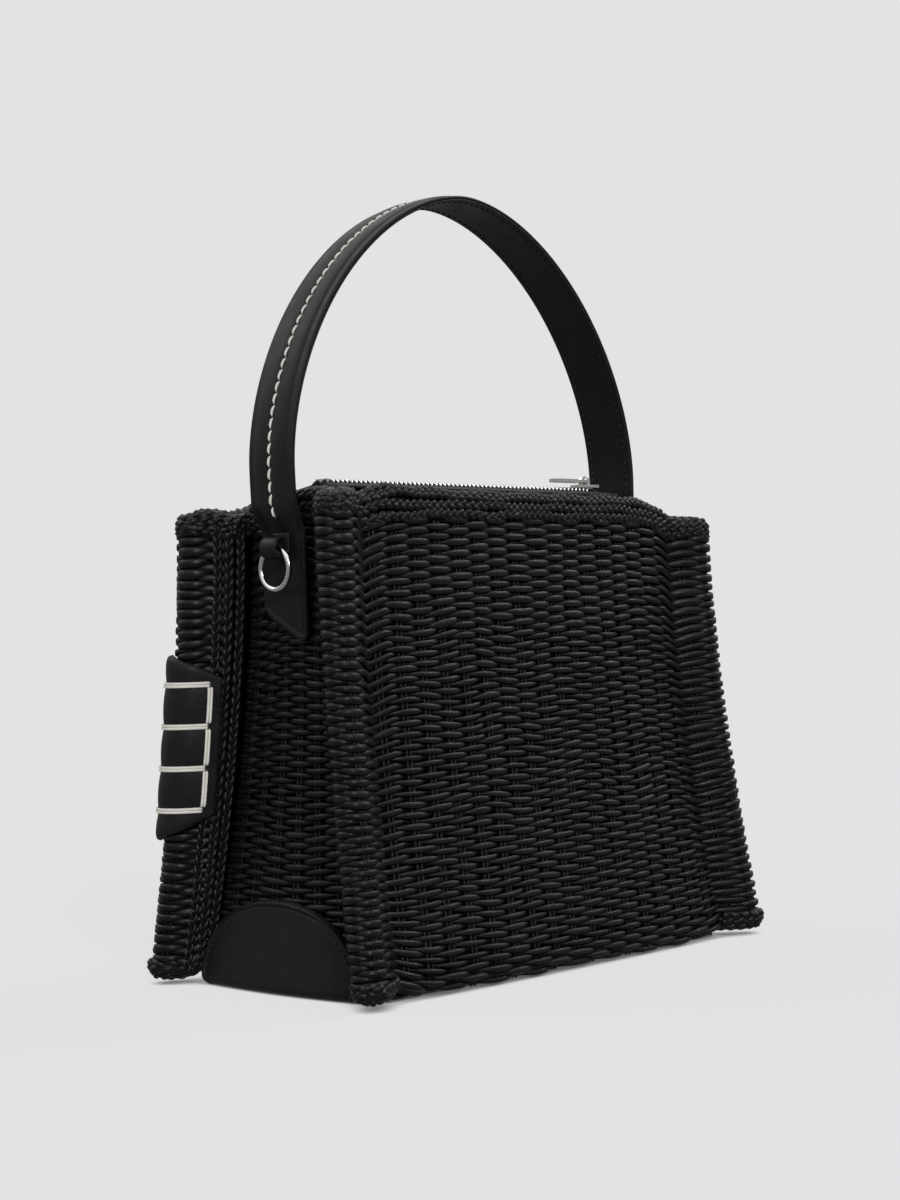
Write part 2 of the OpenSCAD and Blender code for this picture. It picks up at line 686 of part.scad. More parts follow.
module zip_pull() {
    arm_in = lug_w / 2 + zip_play;
    eye_r = pivot_r + slider_plate / 2;
    fork_l = lug_r + 2 * zip_play;
    tip_r = pull_w / 2;
    color(metal) translate([slider_x, 0, pivot_z]) {
        rotate([90, 0, 0]) cylinder(r = pivot_r, h = pull_w, center = true);
        for (side = [-1, 1])
            translate([0, side * (arm_in + pull_w / 2) / 2, 0]) {
                rotate([90, 0, 0]) cylinder(r = eye_r, h = pull_w / 2 - arm_in, center = true);
                translate([-fork_l - pull_t, arm_in / 2 - pull_w / 4, -pull_t / 2])
                    cube([fork_l + pull_t, pull_w / 2 - arm_in, pull_t]);
            }
        difference() {
            union() {
                translate([tip_r - pull_l, -tip_r, -pull_t / 2]) cube([pull_l - tip_r - fork_l, pull_w, pull_t]);
                translate([tip_r - pull_l, 0, 0]) cylinder(r = tip_r, h = pull_t, center = true);
            }
            translate([tip_r - pull_l, 0, 0]) cylinder(r = tip_r / 2, h = 2 * pull_t, center = true);
        }
    }
}

// A layer of the handle between two offsets from its middle line
module strap_layer(from, to, first, last, width) {
    rotate([90, 0, 0])
        linear_extrude(width, center = true)
            polygon(concat(handle_line(to, first, last), turned(handle_line(from, first, last))));
}

module handle_strap() {
    pad_first = ceil(pad_end / ((spring_z - strap_end_z) / leg_steps));
    color(leather) {
        strap_layer(-strap_t / 2, strap_t / 2, 0, handle_last, strap_w);
        strap_layer(0, strap_t / 2 + pad_h, pad_first, handle_last - pad_first, strap_w - 2 * pad_margin);
    }
}

module handle_backing() {
    color(leather) strap_layer(-strap_in, -strap_t / 2, 0, handle_last, strap_w);
}

module tab_plan() {
    low = tab_tip + tab_corner;
    side = tab_w / 2 - tab_corner;
    hull() {
        translate([-side, low + tab_slant]) circle(tab_corner);
        translate([side, low]) circle(tab_corner);
        translate([-tab_w / 2, tab_top - 2 * tab_corner]) square([tab_w, 2 * tab_corner]);
    }
}

module right_tab() {
    color(leather)
        translate([tab_x, 0, 0])
            rotate([90, 0, 90])
                linear_extrude(tab_t) tab_plan();
}

module left_tab() {
    rotate([0, 0, 180]) right_tab();
}

module right_ring_loop() {
    color(leather)
        translate([ring_x, loop_w / 2, ring_z])
            rotate([90, 0, 0])
                linear_extrude(loop_w)
                    difference() {
                        union() {
                            circle(loop_out);
                            translate([-loop_out, 0]) square([loop_t, loop_out + loop_t]);
                        }
                        circle(loop_in);
                    }
}

module left_ring_loop() {
    mirror([1, 0, 0]) right_ring_loop();
}

module right_ring() {
    color(metal)
        translate([ring_x, 0, ring_z - ring_r])
            rotate([0, 90, 0])
                rotate_extrude() translate([ring_r, 0]) circle(wire_r);
}

module left_ring() {
    mirror([1, 0, 0]) right_ring();
}

module right_foot_patch() {
    color(leather) even_shell(
        concat([patch_lip(patch_t)], [for (level = [0 : patch_levels]) patch_row(level, patch_t)]),
        concat([patch_lip(0)], [for (level = [0 : patch_levels]) patch_row(level, 0)])
    );
}

module left_foot_patch() {
    mirror([1, 0, 0]) right_foot_patch();
}

// A band round the back left fin: u counts stations and z0 and z1 are its edges at each stop
module fin_band(stops, z0, z1, levels, near, far) {
    mirror([1, 0, 0]) even_shell(
        [for (l = [0 : levels]) [for (m = [0 : len(stops) - 1])
            sleeve_point(stops[m], rise(z0[m], z1[m], l / levels), far)]],
        [for (l = [0 : levels]) [for (m = [0 : len(stops) - 1])
            sleeve_point(stops[m], rise(z0[m], z1[m], l / levels), near)]]
    );
}

module fin_wrap() {
    color(leather) fin_band(
        wrap_stops,
        [for (u = wrap_stops) wrap_z - wrap_half(u)],
        [for (u = wrap_stops) wrap_z + wrap_half(u)],
        wrap_levels, wrap_gap, wrap_gap + wrap_t
    );
}

module fin_lacing() {
    stops = [lace_in, 2, 3, 4, lace_out];
    uprights = [lace_in, lace_out - lace_share];
    color(thread) {
        for (row = lace_rows) {
            low = wrap_z + row * lace_pitch - lace_w / 2;
            fin_band(stops, [for (u = stops) low], [for (u = stops) low + lace_w], 1, lace_gap, lace_gap + lace_t);
        }
        for (u = uprights, row = [-1, 0, 1]) {
            low = wrap_z + row * lace_pitch - lace_pitch / 2 + lace_w / 2 + seam;
            high = low + lace_pitch - lace_w - 2 * seam;
            fin_band([u, u + lace_share], [low, low], [high, high], 1, lace_gap, lace_gap + lace_t);
        }
    }
}

front_panel();
back_panel();
left_gusset();
right_gusset();
base_mat();
rim_plait();
lining();
top_panel_front();
top_panel_back();
zip_tape_front();
zip_tape_back();
zip_teeth_front();
zip_teeth_back();
zip_stop();
zip_slider();
zip_pull();
handle_strap();
handle_backing();
left_tab();
right_tab();
left_ring_loop();
right_ring_loop();
left_ring();
right_ring();
left_foot_patch();
right_foot_patch();
fin_wrap();
fin_lacing();
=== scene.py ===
# %% [markdown]
# # A basket box bag
# The bag is a black wicker box whose four corners are folded out into fins. A leather strap arches over
# it, rings hang at its ends and a metal zip closes the top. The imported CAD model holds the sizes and
# places, and this lesson dresses it with real strands, leather, thread and metal. Lengths in the formulas
# are millimetres, as on a maker's drawing, and they become metres when a mesh is made.

# %% Load the frame
from functools import partial
import bpy
import numpy as np
from mathutils import Matrix


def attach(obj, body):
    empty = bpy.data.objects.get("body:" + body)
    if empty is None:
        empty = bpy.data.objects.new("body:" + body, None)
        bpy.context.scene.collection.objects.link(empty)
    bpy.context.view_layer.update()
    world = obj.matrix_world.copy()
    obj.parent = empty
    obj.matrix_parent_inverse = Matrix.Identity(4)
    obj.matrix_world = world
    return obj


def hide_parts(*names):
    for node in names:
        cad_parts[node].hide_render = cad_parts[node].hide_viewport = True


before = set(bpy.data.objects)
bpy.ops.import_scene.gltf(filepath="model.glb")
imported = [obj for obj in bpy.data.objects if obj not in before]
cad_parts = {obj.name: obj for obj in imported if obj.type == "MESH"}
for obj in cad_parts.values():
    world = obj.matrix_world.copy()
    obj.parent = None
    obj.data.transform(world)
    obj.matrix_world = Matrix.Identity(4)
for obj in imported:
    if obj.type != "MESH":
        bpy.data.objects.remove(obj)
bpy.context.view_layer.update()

# %% [markdown]
# ## The camera
# A camera that was fitted to the bag's outline stands in front of one corner, about as high as the rings,
# and looks very slightly up. The lens is a short telephoto, so the upright lines stay nearly parallel.

# %% Camera
MM = 0.001
VIEW_POINT = (-682.6, -643.1, 140.95)
VIEW_TURN, VIEW_TILT, VIEW_ROLL = np.radians([46.462, 0.714, -1.84])
SENSOR_MM = 36.0
LENS_MM = 65.716
VIEW_REACH = 60.0
ahead = np.array([np.sin(VIEW_TURN) * np.cos(VIEW_TILT), np.cos(VIEW_TURN) * np.cos(VIEW_TILT),
                  np.sin(VIEW_TILT)])
level = np.array([np.cos(VIEW_TURN), -np.sin(VIEW_TURN), 0.0])
upward = np.cross(level, ahead)
right_hand = level * np.cos(VIEW_ROLL) + upward * np.sin(VIEW_ROLL)
overhead = upward * np.cos(VIEW_ROLL) - level * np.sin(VIEW_ROLL)
placing = np.eye(4)
placing[:3, :3] = np.stack([right_hand, overhead, -ahead], axis=1)
placing[:3, 3] = np.array(VIEW_POINT) * MM
camera = bpy.data.objects.new("camera", bpy.data.cameras.new("camera"))
camera.data.lens = LENS_MM
camera.data.sensor_width = SENSOR_MM
camera.data.clip_end = VIEW_REACH
camera.matrix_world = Matrix(placing.tolist())
bpy.context.scene.collection.objects.link(camera)
bpy.context.scene.camera = camera
print("camera at", VIEW_POINT, "mm with a lens of", LENS_MM, "mm")

# %% [markdown]
# ## Studio light and floor
# The studio is an even pale grey with hardly a shadow. A uniform world lights everything softly, and
# three soft lamps stand where the strands of the broad face, of the gusset and of the near fin mirror
# them, because black cane shows its shape almost only by highlights. What mirrors the studio sees it
# bright above and dim at eye level, as under a ceiling of soft boxes. The floor is a matte sheet whose
# grey is worked out from the light that falls on it, so that floor and backdrop run into each other and
# a little real shadow stays. Most of the floor that the camera sees is a plain grey glow, and its
# contact shadow there is painted shade, darkened by ambient occlusion close under the bag.

# %% Light
PAPER_GREY = 0.768
WORLD_LIGHT = 0.32
MIRROR_LOW, MIRROR_HIGH = 0.14, 1.4
MIRROR_TOP, MIRROR_LEVEL = -0.8, 0.1
LAMPS = (
    ("right_lamp", (0.72, -0.20, 0.66), 0.75, 22),
    ("back_lamp", (-0.33, 0.64, 0.70), 0.35, 22),
    ("left_lamp", (-0.42, -0.78, 0.46), 1.55, 14),
)
scene = bpy.context.scene
scene.view_settings.view_transform = "Standard"


def new_node(tree, kind, **values):
    """Adds a node and sets its fields and its input sockets by name."""
    node = tree.nodes.new(kind)
    for key, value in values.items():
        if key in node.inputs:
            node.inputs[key].default_value = value
        else:
            setattr(node, key, value)
    return node


def between(tree, factor, low, high, start=0.0, stop=1.0):
    """Maps a factor from start..stop to low..high."""
    made = new_node(tree, "ShaderNodeMapRange")
    for socket, value in zip(("From Min", "From Max", "To Min", "To Max"), (start, stop, low, high)):
        made.inputs[socket].default_value = value
    tree.links.new(factor, made.inputs["Value"])
    return made.outputs[0]


def joined(tree, operation, first, second):
    """One number from two, by a named operation such as ADD."""
    made = new_node(tree, "ShaderNodeMath", operation=operation)
    tree.links.new(first, made.inputs[0])
    tree.links.new(second, made.inputs[1])
    return made.outputs[0]


def mixed(tree, factor, first, second):
    """A blend of two shaders: the first where the factor is 0 and the second where it is 1."""
    made = new_node(tree, "ShaderNodeMixShader")
    for socket, source in zip(made.inputs, (factor, first.outputs[0], second.outputs[0])):
        tree.links.new(source, socket)
    return made


def seen_straight(tree):
    """A factor of 1 for what the camera sees itself, and 0 for light and mirror rays."""
    path = new_node(tree, "ShaderNodeLightPath")
    return joined(tree, "MAXIMUM", path.outputs["Is Camera Ray"], path.outputs["Is Transmission Ray"])


def seen_mirrored(tree):
    """A factor of 1 for what shiny surfaces mirror."""
    return new_node(tree, "ShaderNodeLightPath").outputs["Is Glossy Ray"]


# %% World
world = bpy.data.worlds.new("studio")
world.use_nodes = True
scene.world = world
tree = world.node_tree
tree.nodes.clear()
lighting = new_node(tree, "ShaderNodeBackground", Color=(1, 1, 1, 1), Strength=WORLD_LIGHT)
backdrop = new_node(tree, "ShaderNodeBackground", Color=(PAPER_GREY,) * 3 + (1,), Strength=1.0)
mirrored = new_node(tree, "ShaderNodeBackground", Color=(1, 1, 1, 1))
axes = new_node(tree, "ShaderNodeSeparateXYZ")
tree.links.new(new_node(tree, "ShaderNodeNewGeometry").outputs["Incoming"], axes.inputs[0])
fading = between(tree, axes.outputs["Z"], MIRROR_HIGH, MIRROR_LOW, MIRROR_TOP, MIRROR_LEVEL)
tree.links.new(fading, mirrored.inputs["Strength"])
unseen = mixed(tree, seen_mirrored(tree), lighting, mirrored)
surround = mixed(tree, seen_straight(tree), unseen, backdrop)
tree.links.new(surround.outputs[0], new_node(tree, "ShaderNodeOutputWorld").inputs["Surface"])
print("world light", WORLD_LIGHT, "before a backdrop of", PAPER_GREY)

# %% Lamps


def broad_lamp(name, towards, energy, softness):
    """A sun whose light comes from the direction `towards`, with a wide disc for soft edges. Returns the
    light that it adds to a white floor: energy times the direction's rise, divided by pi."""
    lamp = bpy.data.objects.new(name, bpy.data.lights.new(name, "SUN"))
    lamp.data.energy = energy
    lamp.data.angle = np.radians(softness)
    back = np.array(towards, float) / np.linalg.norm(towards)
    side = np.cross([0, 0, 1.0], back)
    side /= np.linalg.norm(side)
    turn = np.eye(4)
    turn[:3, :3] = np.stack([side, np.cross(back, side), back], axis=1)
    lamp.matrix_world = Matrix(turn.tolist())
    scene.collection.objects.link(lamp)
    return energy * back[2] / np.pi


floor_light = WORLD_LIGHT + sum(broad_lamp(*lamp) for lamp in LAMPS)
print(len(LAMPS), "lamps; light on the floor", round(float(floor_light), 3))

# %% Floor
FLOOR_HALF = 12.0
SHADOW_SHARE = 0.10
# Painted shade: near the bag, ambient occlusion darkens the floor's plain grey glow into a contact shadow.
CONTACT_REACH, PAINTED_CONTACT_DARK, CONTACT_OPEN = 0.012, 0.04, 0.62
MIRRORED_FLOOR = 0.24
floor_tint = PAPER_GREY / floor_light


def floor_finish():
    """Matte paper: the camera sees part plain grey, with a painted contact shade from ambient occlusion
    close under the bag, and part lit paper with its real shadow. Mirror-like surfaces see it dim."""
    paper = bpy.data.materials.new("paper_floor")
    paper.use_nodes = True
    tree = paper.node_tree
    tree.nodes.clear()
    lit = new_node(tree, "ShaderNodeBsdfDiffuse", Color=(floor_tint,) * 3 + (1,))
    plain = new_node(tree, "ShaderNodeEmission", Color=(PAPER_GREY,) * 3 + (1,))
    # Painted contact shade: the glow's strength falls where ambient occlusion finds the bag close by.
    corner = new_node(tree, "ShaderNodeAmbientOcclusion", Distance=CONTACT_REACH)
    painted_contact_shade = between(tree, corner.outputs["AO"], PAINTED_CONTACT_DARK, 1.0, 0.0, CONTACT_OPEN)
    tree.links.new(painted_contact_shade, plain.inputs["Strength"])
    seen = mixed(tree, between(tree, seen_straight(tree), 0.0, 1 - SHADOW_SHARE), lit, plain)
    dim = new_node(tree, "ShaderNodeEmission", Color=(MIRRORED_FLOOR,) * 3 + (1,))
    sheet = mixed(tree, seen_mirrored(tree), seen, dim)
    tree.links.new(sheet.outputs[0], new_node(tree, "ShaderNodeOutputMaterial").inputs["Surface"])
    return paper


floor_mesh = bpy.data.meshes.new("floor")
floor_corners = [(FLOOR_HALF * x, FLOOR_HALF * y, 0) for x, y in ((-1, -1), (1, -1), (1, 1), (-1, 1))]
floor_mesh.from_pydata(floor_corners, [], [(0, 1, 2, 3)])
floor_mesh.materials.append(floor_finish())
floor = bpy.data.objects.new("floor", floor_mesh)
scene.collection.objects.link(floor)
print("floor grey", round(float(floor_tint), 3))

# %% [markdown]
# ## Turning formulas into pieces
# Every new piece is a grid of points worked out as whole arrays. A strand or a stitch is an ellipse
# carried along a line. A strap or a patch is a slab between an outer and an inner grid. Each point also
# keeps its place on the strand or sheet, so that grain and twist in a material can follow the piece, and
# a tint that differs from strand to strand, because no two canes take the stain alike.

# %% Grids
rng = np.random.default_rng(46)


def unit(vectors):
    """Vectors scaled to length one along their last axis."""
    return vectors / np.maximum(np.linalg.norm(vectors, axis=-1, keepdims=True), 1e-9)


def smooth(t):
    """Eases from 0 to 1: 3t^2 - 2t^3 with t held between 0 and 1."""
    t = np.clip(t, 0, 1)
    return t * t * (3 - 2 * t)


def grid_quads(rows, columns, ring_rows=False, ring_columns=False):
    """Corners of each cell of a grid numbered row by row; a ring joins its last line to its first."""
    low_rows, low_columns = np.arange(rows - (not ring_rows)), np.arange(columns - (not ring_columns))
    r, c = np.meshgrid(low_rows, low_columns, indexing="ij")
    r_next, c_next = (r + 1) % rows, (c + 1) % columns
    corners = [r * columns + c, r * columns + c_next, r_next * columns + c_next, r_next * columns + c]
    return np.stack(corners, axis=-1).reshape(-1, 4)


def line_length(line):
    """Length travelled along a line of points."""
    return np.concatenate([[0], np.cumsum(np.linalg.norm(np.diff(line, axis=0), axis=1))])


def walked(line, length, at):
    """What a line holds at given lengths along it: its points, or one direction for each point."""
    return np.stack([np.interp(at, length, line[:, k]) for k in range(line.shape[1])], -1)


# %% Strands
PLACE_SPREAD = 400
MIDDLE_TINT = 0.5


def tubes(lines, out, out_r, side_r, sides=8, ring=False, flat=1.0):
    """Strands: P + cos(a) out_r N + sin(a) side_r B for a round the circle, along each line P. T is the
    line's direction, B = T x out and N = B x T. lines is (strands, points, 3). A power flat below 1 on
    the cosine makes the face flatter, with rounder shoulders."""
    lines = np.asarray(lines, float)
    strands, points, _ = lines.shape
    ahead = np.roll(lines, -1, 1) - np.roll(lines, 1, 1)
    if not ring:
        ahead[:, 0] = lines[:, 1] - lines[:, 0]
        ahead[:, -1] = lines[:, -1] - lines[:, -2]
    along = unit(ahead)
    beside = unit(np.cross(along, np.broadcast_to(out, lines.shape)))
    normal = np.cross(beside, along)
    a = np.pi + 2 * np.pi * np.arange(sides) / sides
    out_r, side_r = (np.broadcast_to(r, (strands, points))[..., None, None] for r in (out_r, side_r))
    rise = np.sign(np.cos(a)) * np.abs(np.cos(a)) ** flat
    rings = (lines[:, :, None] + out_r * rise[:, None] * normal[:, :, None]
             + side_r * np.sin(a)[:, None] * beside[:, :, None])
    travelled = np.cumsum(np.linalg.norm(np.diff(lines, axis=1, prepend=lines[:, :1]), axis=2), axis=1)
    travelled = travelled + PLACE_SPREAD * rng.random((strands, 1))
    place = np.empty(rings.shape)
    place[..., 0] = travelled[..., None]
    place[..., 1] = np.cos(a)
    place[..., 2] = np.sin(a)
    first = np.arange(strands)[:, None, None] * points * sides
    faces = [(grid_quads(points, sides, ring, True)[None] + first).reshape(-1, 4)]
    if not ring:
        start = np.arange(sides)[::-1]
        stop = (points - 1) * sides + np.arange(sides)
        faces.append((np.stack([start, stop])[None] + first).reshape(-1, sides))
    tint = np.broadcast_to(rng.random((strands, 1, 1)), rings.shape[:3])
    return {"points": rings.reshape(-1, 3), "faces": faces, "place": place.reshape(-1, 3),
            "tint": tint.ravel()}


# %% Slabs


def slab(outer, inner, ring=False, capped=False):
    """A sheet with thickness: an outer and an inner grid (rows, columns, 3) joined round their edges. In
    a ring the columns close; a capped ring is a bag whose first row is filled on both sides."""
    rows, columns, _ = outer.shape
    count = rows * columns
    face = grid_quads(rows, columns, False, ring)
    faces = [face, face[:, ::-1] + count]
    edges = [((rows - 1) * columns + np.arange(columns - (not ring)), -1)]
    if capped:
        faces += [np.arange(columns)[::-1][None], np.arange(columns)[None] + count]
    else:
        edges.append((np.arange(columns - (not ring)), 1))
    for start, way in edges:
        stop = start // columns * columns + (start + 1) % columns
        faces.append(np.stack([start, start + count, stop + count, stop][::way], axis=-1))
    if not ring:
        for column, way in ((0, -1), (columns - 1, 1)):
            start = np.arange(rows - 1) * columns + column
            stop = start + columns
            faces.append(np.stack([start, start + count, stop + count, stop][::way], axis=-1))
    points = np.concatenate([outer.reshape(-1, 3), inner.reshape(-1, 3)])
    spans = [np.linalg.norm(np.diff(outer, axis=k, prepend=np.take(outer, [0], k)), axis=2).cumsum(k)
             for k in (0, 1)]
    place = np.stack([spans[0], spans[1], np.zeros((rows, columns))], axis=-1).reshape(-1, 3)
    return {"points": points, "faces": faces, "place": np.concatenate([place, place]),
            "tint": np.full(len(points), MIDDLE_TINT)}


# %% [markdown]
# A piece is one mesh made from such parts. It rides on a body of the frame, wears one finish, and
# may stand for solids of the CAD model, which are then hidden. Faces that point inwards are turned round
# first.

# %% Pieces


def outward(part):
    """The part's faces, turned round if the volume that they close is negative."""
    p = part["points"] - part["points"].mean(0)
    volume = sum(np.sum(p[f[:, 0]] * np.cross(p[f[:, k]], p[f[:, k + 1]]))
                 for f in part["faces"] for k in range(1, f.shape[1] - 1))
    return part["faces"] if volume > 0 else [face[:, ::-1] for face in part["faces"]]


def piece(name, parts, finish, body="bag", stands_for=()):
    """One smooth mesh from parts of points and faces; it rides on a body and may stand for CAD nodes."""
    shifts = np.cumsum([0] + [len(part["points"]) for part in parts])
    faces = [face + shift for part, shift in zip(parts, shifts) for face in outward(part)]
    corners = np.concatenate([face.ravel() for face in faces]).astype(np.int32)
    sizes = np.concatenate([np.full(len(face), face.shape[1]) for face in faces])
    points = np.concatenate([part["points"] for part in parts])
    mesh = bpy.data.meshes.new(name)
    mesh.vertices.add(len(points))
    mesh.vertices.foreach_set("co", (points * MM).astype(np.float32).ravel())
    mesh.loops.add(len(corners))
    mesh.loops.foreach_set("vertex_index", corners)
    mesh.polygons.add(len(sizes))
    mesh.polygons.foreach_set("loop_start", np.concatenate([[0], np.cumsum(sizes)[:-1]]).astype(np.int32))
    mesh.polygons.foreach_set("use_smooth", np.ones(len(sizes), bool))
    mesh.update(calc_edges=True)
    place = mesh.attributes.new("place", "FLOAT_VECTOR", "POINT")
    place.data.foreach_set("vector", np.concatenate([p["place"] for p in parts]).astype(np.float32).ravel())
    tint = mesh.attributes.new("tint", "FLOAT", "POINT")
    tint.data.foreach_set("value", np.concatenate([p["tint"] for p in parts]).astype(np.float32))
    mesh.materials.append(finish)
    made = bpy.data.objects.new(name, mesh)
    scene.collection.objects.link(made)
    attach(made, body)
    if stands_for:
        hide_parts(*stands_for)
    print(f"{name}: {len(points)} points, {int((sizes - 2).sum())} triangles")
    return made


# %% [markdown]
# ## Finishes
# Stained cane is nearly black with a satin skin. Fine fibres run along each strand, some strands took
# more stain than others, and rubbed spots are a little greyer. Leather is smooth with a fine pebble and
# softer creases. Thread is twisted, nickel is polished with faint wear, and the cloth is a plain black
# weave.

# %% Finish helpers
CLOUDS = (0.3, 0.7)


def finish_tree(name, **shader):
    """A material with one principled shader; constants go straight on its sockets."""
    made = bpy.data.materials.new(name)
    made.use_nodes = True
    skin = made.node_tree.nodes["Principled BSDF"]
    for socket, value in shader.items():
        skin.inputs[socket.replace("_", " ")].default_value = value
    return made, made.node_tree, skin


def on_piece(tree, stretch, attribute=None):
    """Coordinates for a pattern: object space, or the place along a strand, stretched three ways."""
    if attribute:
        source = new_node(tree, "ShaderNodeAttribute", attribute_name=attribute).outputs["Vector"]
    else:
        source = new_node(tree, "ShaderNodeTexCoord").outputs["Object"]
    mapping = new_node(tree, "ShaderNodeMapping", Scale=stretch)
    tree.links.new(source, mapping.inputs["Vector"])
    return mapping.outputs["Vector"]


def noise(tree, where, scale, detail=3.0):
    """Cloudy noise at a scale, as one number."""
    made = new_node(tree, "ShaderNodeTexNoise", Scale=scale, Detail=detail)
    tree.links.new(where, made.inputs["Vector"])
    return made.outputs["Fac"]


def two_tone(tree, factor, dark, light):
    """Mixes two colours by a factor; sockets 6 and 7 of the mix are its two colours."""
    made = new_node(tree, "ShaderNodeMix", data_type="RGBA")
    made.inputs[6].default_value = dark + (1,)
    made.inputs[7].default_value = light + (1,)
    tree.links.new(factor, made.inputs[0])
    return made.outputs[2]


def emboss(tree, height, strength, distance, under=None):
    """A bump from a height; another bump may lie under it."""
    made = new_node(tree, "ShaderNodeBump", Strength=strength, Distance=distance)
    tree.links.new(height, made.inputs["Height"])
    if under:
        tree.links.new(under, made.inputs["Normal"])
    return made.outputs["Normal"]


# %% Cane


def stained_cane(name, dark, light):
    """Satin black cane: fibres along the strand, a tint for each strand, and rubbed grey patches."""
    made, tree, skin = finish_tree(name, Specular_IOR_Level=0.18)
    fibres = noise(tree, on_piece(tree, (0.05, 3.2, 3.2), "place"), 2.2, 4.0)
    patches = noise(tree, on_piece(tree, (1, 1, 1)), 160.0)
    stain = new_node(tree, "ShaderNodeAttribute", attribute_name="tint").outputs["Fac"]
    tone = joined(tree, "ADD", between(tree, fibres, 0.0, 0.6, *CLOUDS), between(tree, stain, 0.0, 0.4))
    tree.links.new(two_tone(tree, tone, dark, light), skin.inputs["Base Color"])
    tree.links.new(between(tree, patches, 0.26, 0.40, *CLOUDS), skin.inputs["Roughness"])
    tree.links.new(emboss(tree, fibres, 0.35, 0.0004), skin.inputs["Normal"])
    return made


cane = stained_cane("stained_cane", (0.0022, 0.0024, 0.0026), (0.0080, 0.0084, 0.0088))
print("finish", cane.name)

# %% Leather


def smooth_leather(name, dark, light, pebble):
    """Black leather: a fine pebble over slow creases, slightly greyer on its high spots."""
    made, tree, skin = finish_tree(name, Specular_IOR_Level=0.14)
    where = on_piece(tree, (1, 1, 1))
    grain = new_node(tree, "ShaderNodeTexVoronoi", Scale=pebble, feature="SMOOTH_F1")
    tree.links.new(where, grain.inputs["Vector"])
    creases = noise(tree, where, 90.0, 4.0)
    tree.links.new(two_tone(tree, creases, dark, light), skin.inputs["Base Color"])
    tree.links.new(between(tree, creases, 0.38, 0.52, *CLOUDS), skin.inputs["Roughness"])
    slow = emboss(tree, creases, 0.10, 0.001)
    tree.links.new(emboss(tree, grain.outputs["Distance"], 0.14, 0.0003, slow), skin.inputs["Normal"])
    return made


hide = smooth_leather("black_leather", (0.0072, 0.0072, 0.0076), (0.0122, 0.0122, 0.0128), 1500.0)
print("finish", hide.name)

# %% Thread


def twisted_thread(name, dark, light, roughness):
    """Thread: plies that wind round it, so the height is a wave of the length and the angle."""
    made, tree, skin = finish_tree(name, Roughness=roughness, Specular_IOR_Level=0.3)
    plies = new_node(tree, "ShaderNodeTexWave", Scale=0.55, Distortion=0.6)
    tree.links.new(on_piece(tree, (1.0, 0.7, 0.7), "place"), plies.inputs["Vector"])
    tree.links.new(two_tone(tree, plies.outputs["Fac"], dark, light), skin.inputs["Base Color"])
    tree.links.new(emboss(tree, plies.outputs["Fac"], 0.3, 0.0003), skin.inputs["Normal"])
    return made


white_thread = twisted_thread("cream_thread", (0.60, 0.58, 0.52), (0.84, 0.82, 0.76), 0.6)
black_thread = twisted_thread("black_thread", (0.004, 0.004, 0.005), (0.012, 0.012, 0.013), 0.5)
print("finishes", white_thread.name, "and", black_thread.name)

# %% Nickel and cloth


def polished_nickel(name):
    """Nickel: a mirror with slight wear that varies over the surface."""
    made, tree, skin = finish_tree(name, Metallic=1.0)
    wear = noise(tree, on_piece(tree, (1, 1, 1)), 700.0, 5.0)
    tree.links.new(two_tone(tree, wear, (0.60, 0.585, 0.56), (0.74, 0.73, 0.71)), skin.inputs["Base Color"])
    tree.links.new(between(tree, wear, 0.12, 0.26, *CLOUDS), skin.inputs["Roughness"])
    return made


def plain_cloth(name, dark, light, threads):
    """Plain weave: two waves across each other raise the threads."""
    made, tree, skin = finish_tree(name, Roughness=0.85, Specular_IOR_Level=0.2, Sheen_Weight=0.1)
    where = on_piece(tree, (1, 1, 1))
    warp = new_node(tree, "ShaderNodeTexWave", Scale=threads, bands_direction="X")
    weft = new_node(tree, "ShaderNodeTexWave", Scale=threads, bands_direction="Y")
    tree.links.new(where, warp.inputs["Vector"])
    tree.links.new(where, weft.inputs["Vector"])
    crossed = joined(tree, "MULTIPLY", warp.outputs["Fac"], weft.outputs["Fac"])
    tree.links.new(two_tone(tree, crossed, dark, light), skin.inputs["Base Color"])
    tree.links.new(emboss(tree, crossed, 0.4, 0.0004), skin.inputs["Normal"])
    return made


nickel = polished_nickel("polished_nickel")
black_cloth = plain_cloth("black_cotton", (0.004, 0.004, 0.005), (0.012, 0.012, 0.013), 260.0)
print("finishes", nickel.name, "and", black_cloth.name)

# %% [markdown]
# ## The plan of the basket
# The broad faces swell, the corners are folded out into fins, and everything flares towards the foot. The
# same plan as in the CAD model is written here for whole arrays: a column coordinate runs round a panel,
# from the inner root of one fin over its rounded edge, across the face, and round the other fin.

# %% Plan
WALL_H, WALL_LIFT = 187.0, 1.2
FIN_TOP, FIN_FLARE = (111.5, 41.0), (6.0, 19.0)
FLARE_POWER = 1.66
FIN_LENGTH, FIN_R, FIN_ANGLE = 15.0, 6.0, np.radians(30)
FACE_BULGE, FOOT_BULGE, GUSSET_SETBACK = 4.0, 3.5, 6.5
FRONT_EDGES = {"crease_dip": (4.5, 7.5), "fin_dip": (-1.5, 6.5),
               "crease_lift": (7.0, 5.0), "fin_lift": (9.0, 4.5)}
BACK_EDGES = {"crease_dip": (5.0, 5.0), "fin_dip": (2.5, 2.5),
              "crease_lift": (7.0, 7.0), "fin_lift": (4.0, 4.0)}
DIP_FROM, LIFT_TO = 0.35, 0.3
FOOT_R, SEAM, WALL_T = 8.0, 0.3, 5.0
FIN_COLUMNS, FACE_COLUMNS = 4, 17
PANEL_COLUMNS = FACE_COLUMNS + 2 * FIN_COLUMNS
FIN_COS, FIN_SIN = np.cos(FIN_ANGLE), np.sin(FIN_ANGLE)
FIN_GIRTH = 2 * FIN_LENGTH + np.pi * FIN_R


def flare(z):
    """How far the foot has spread at height z: (1 - z / wall height) to a power."""
    return np.clip(1 - z / WALL_H, 0, 1) ** FLARE_POWER


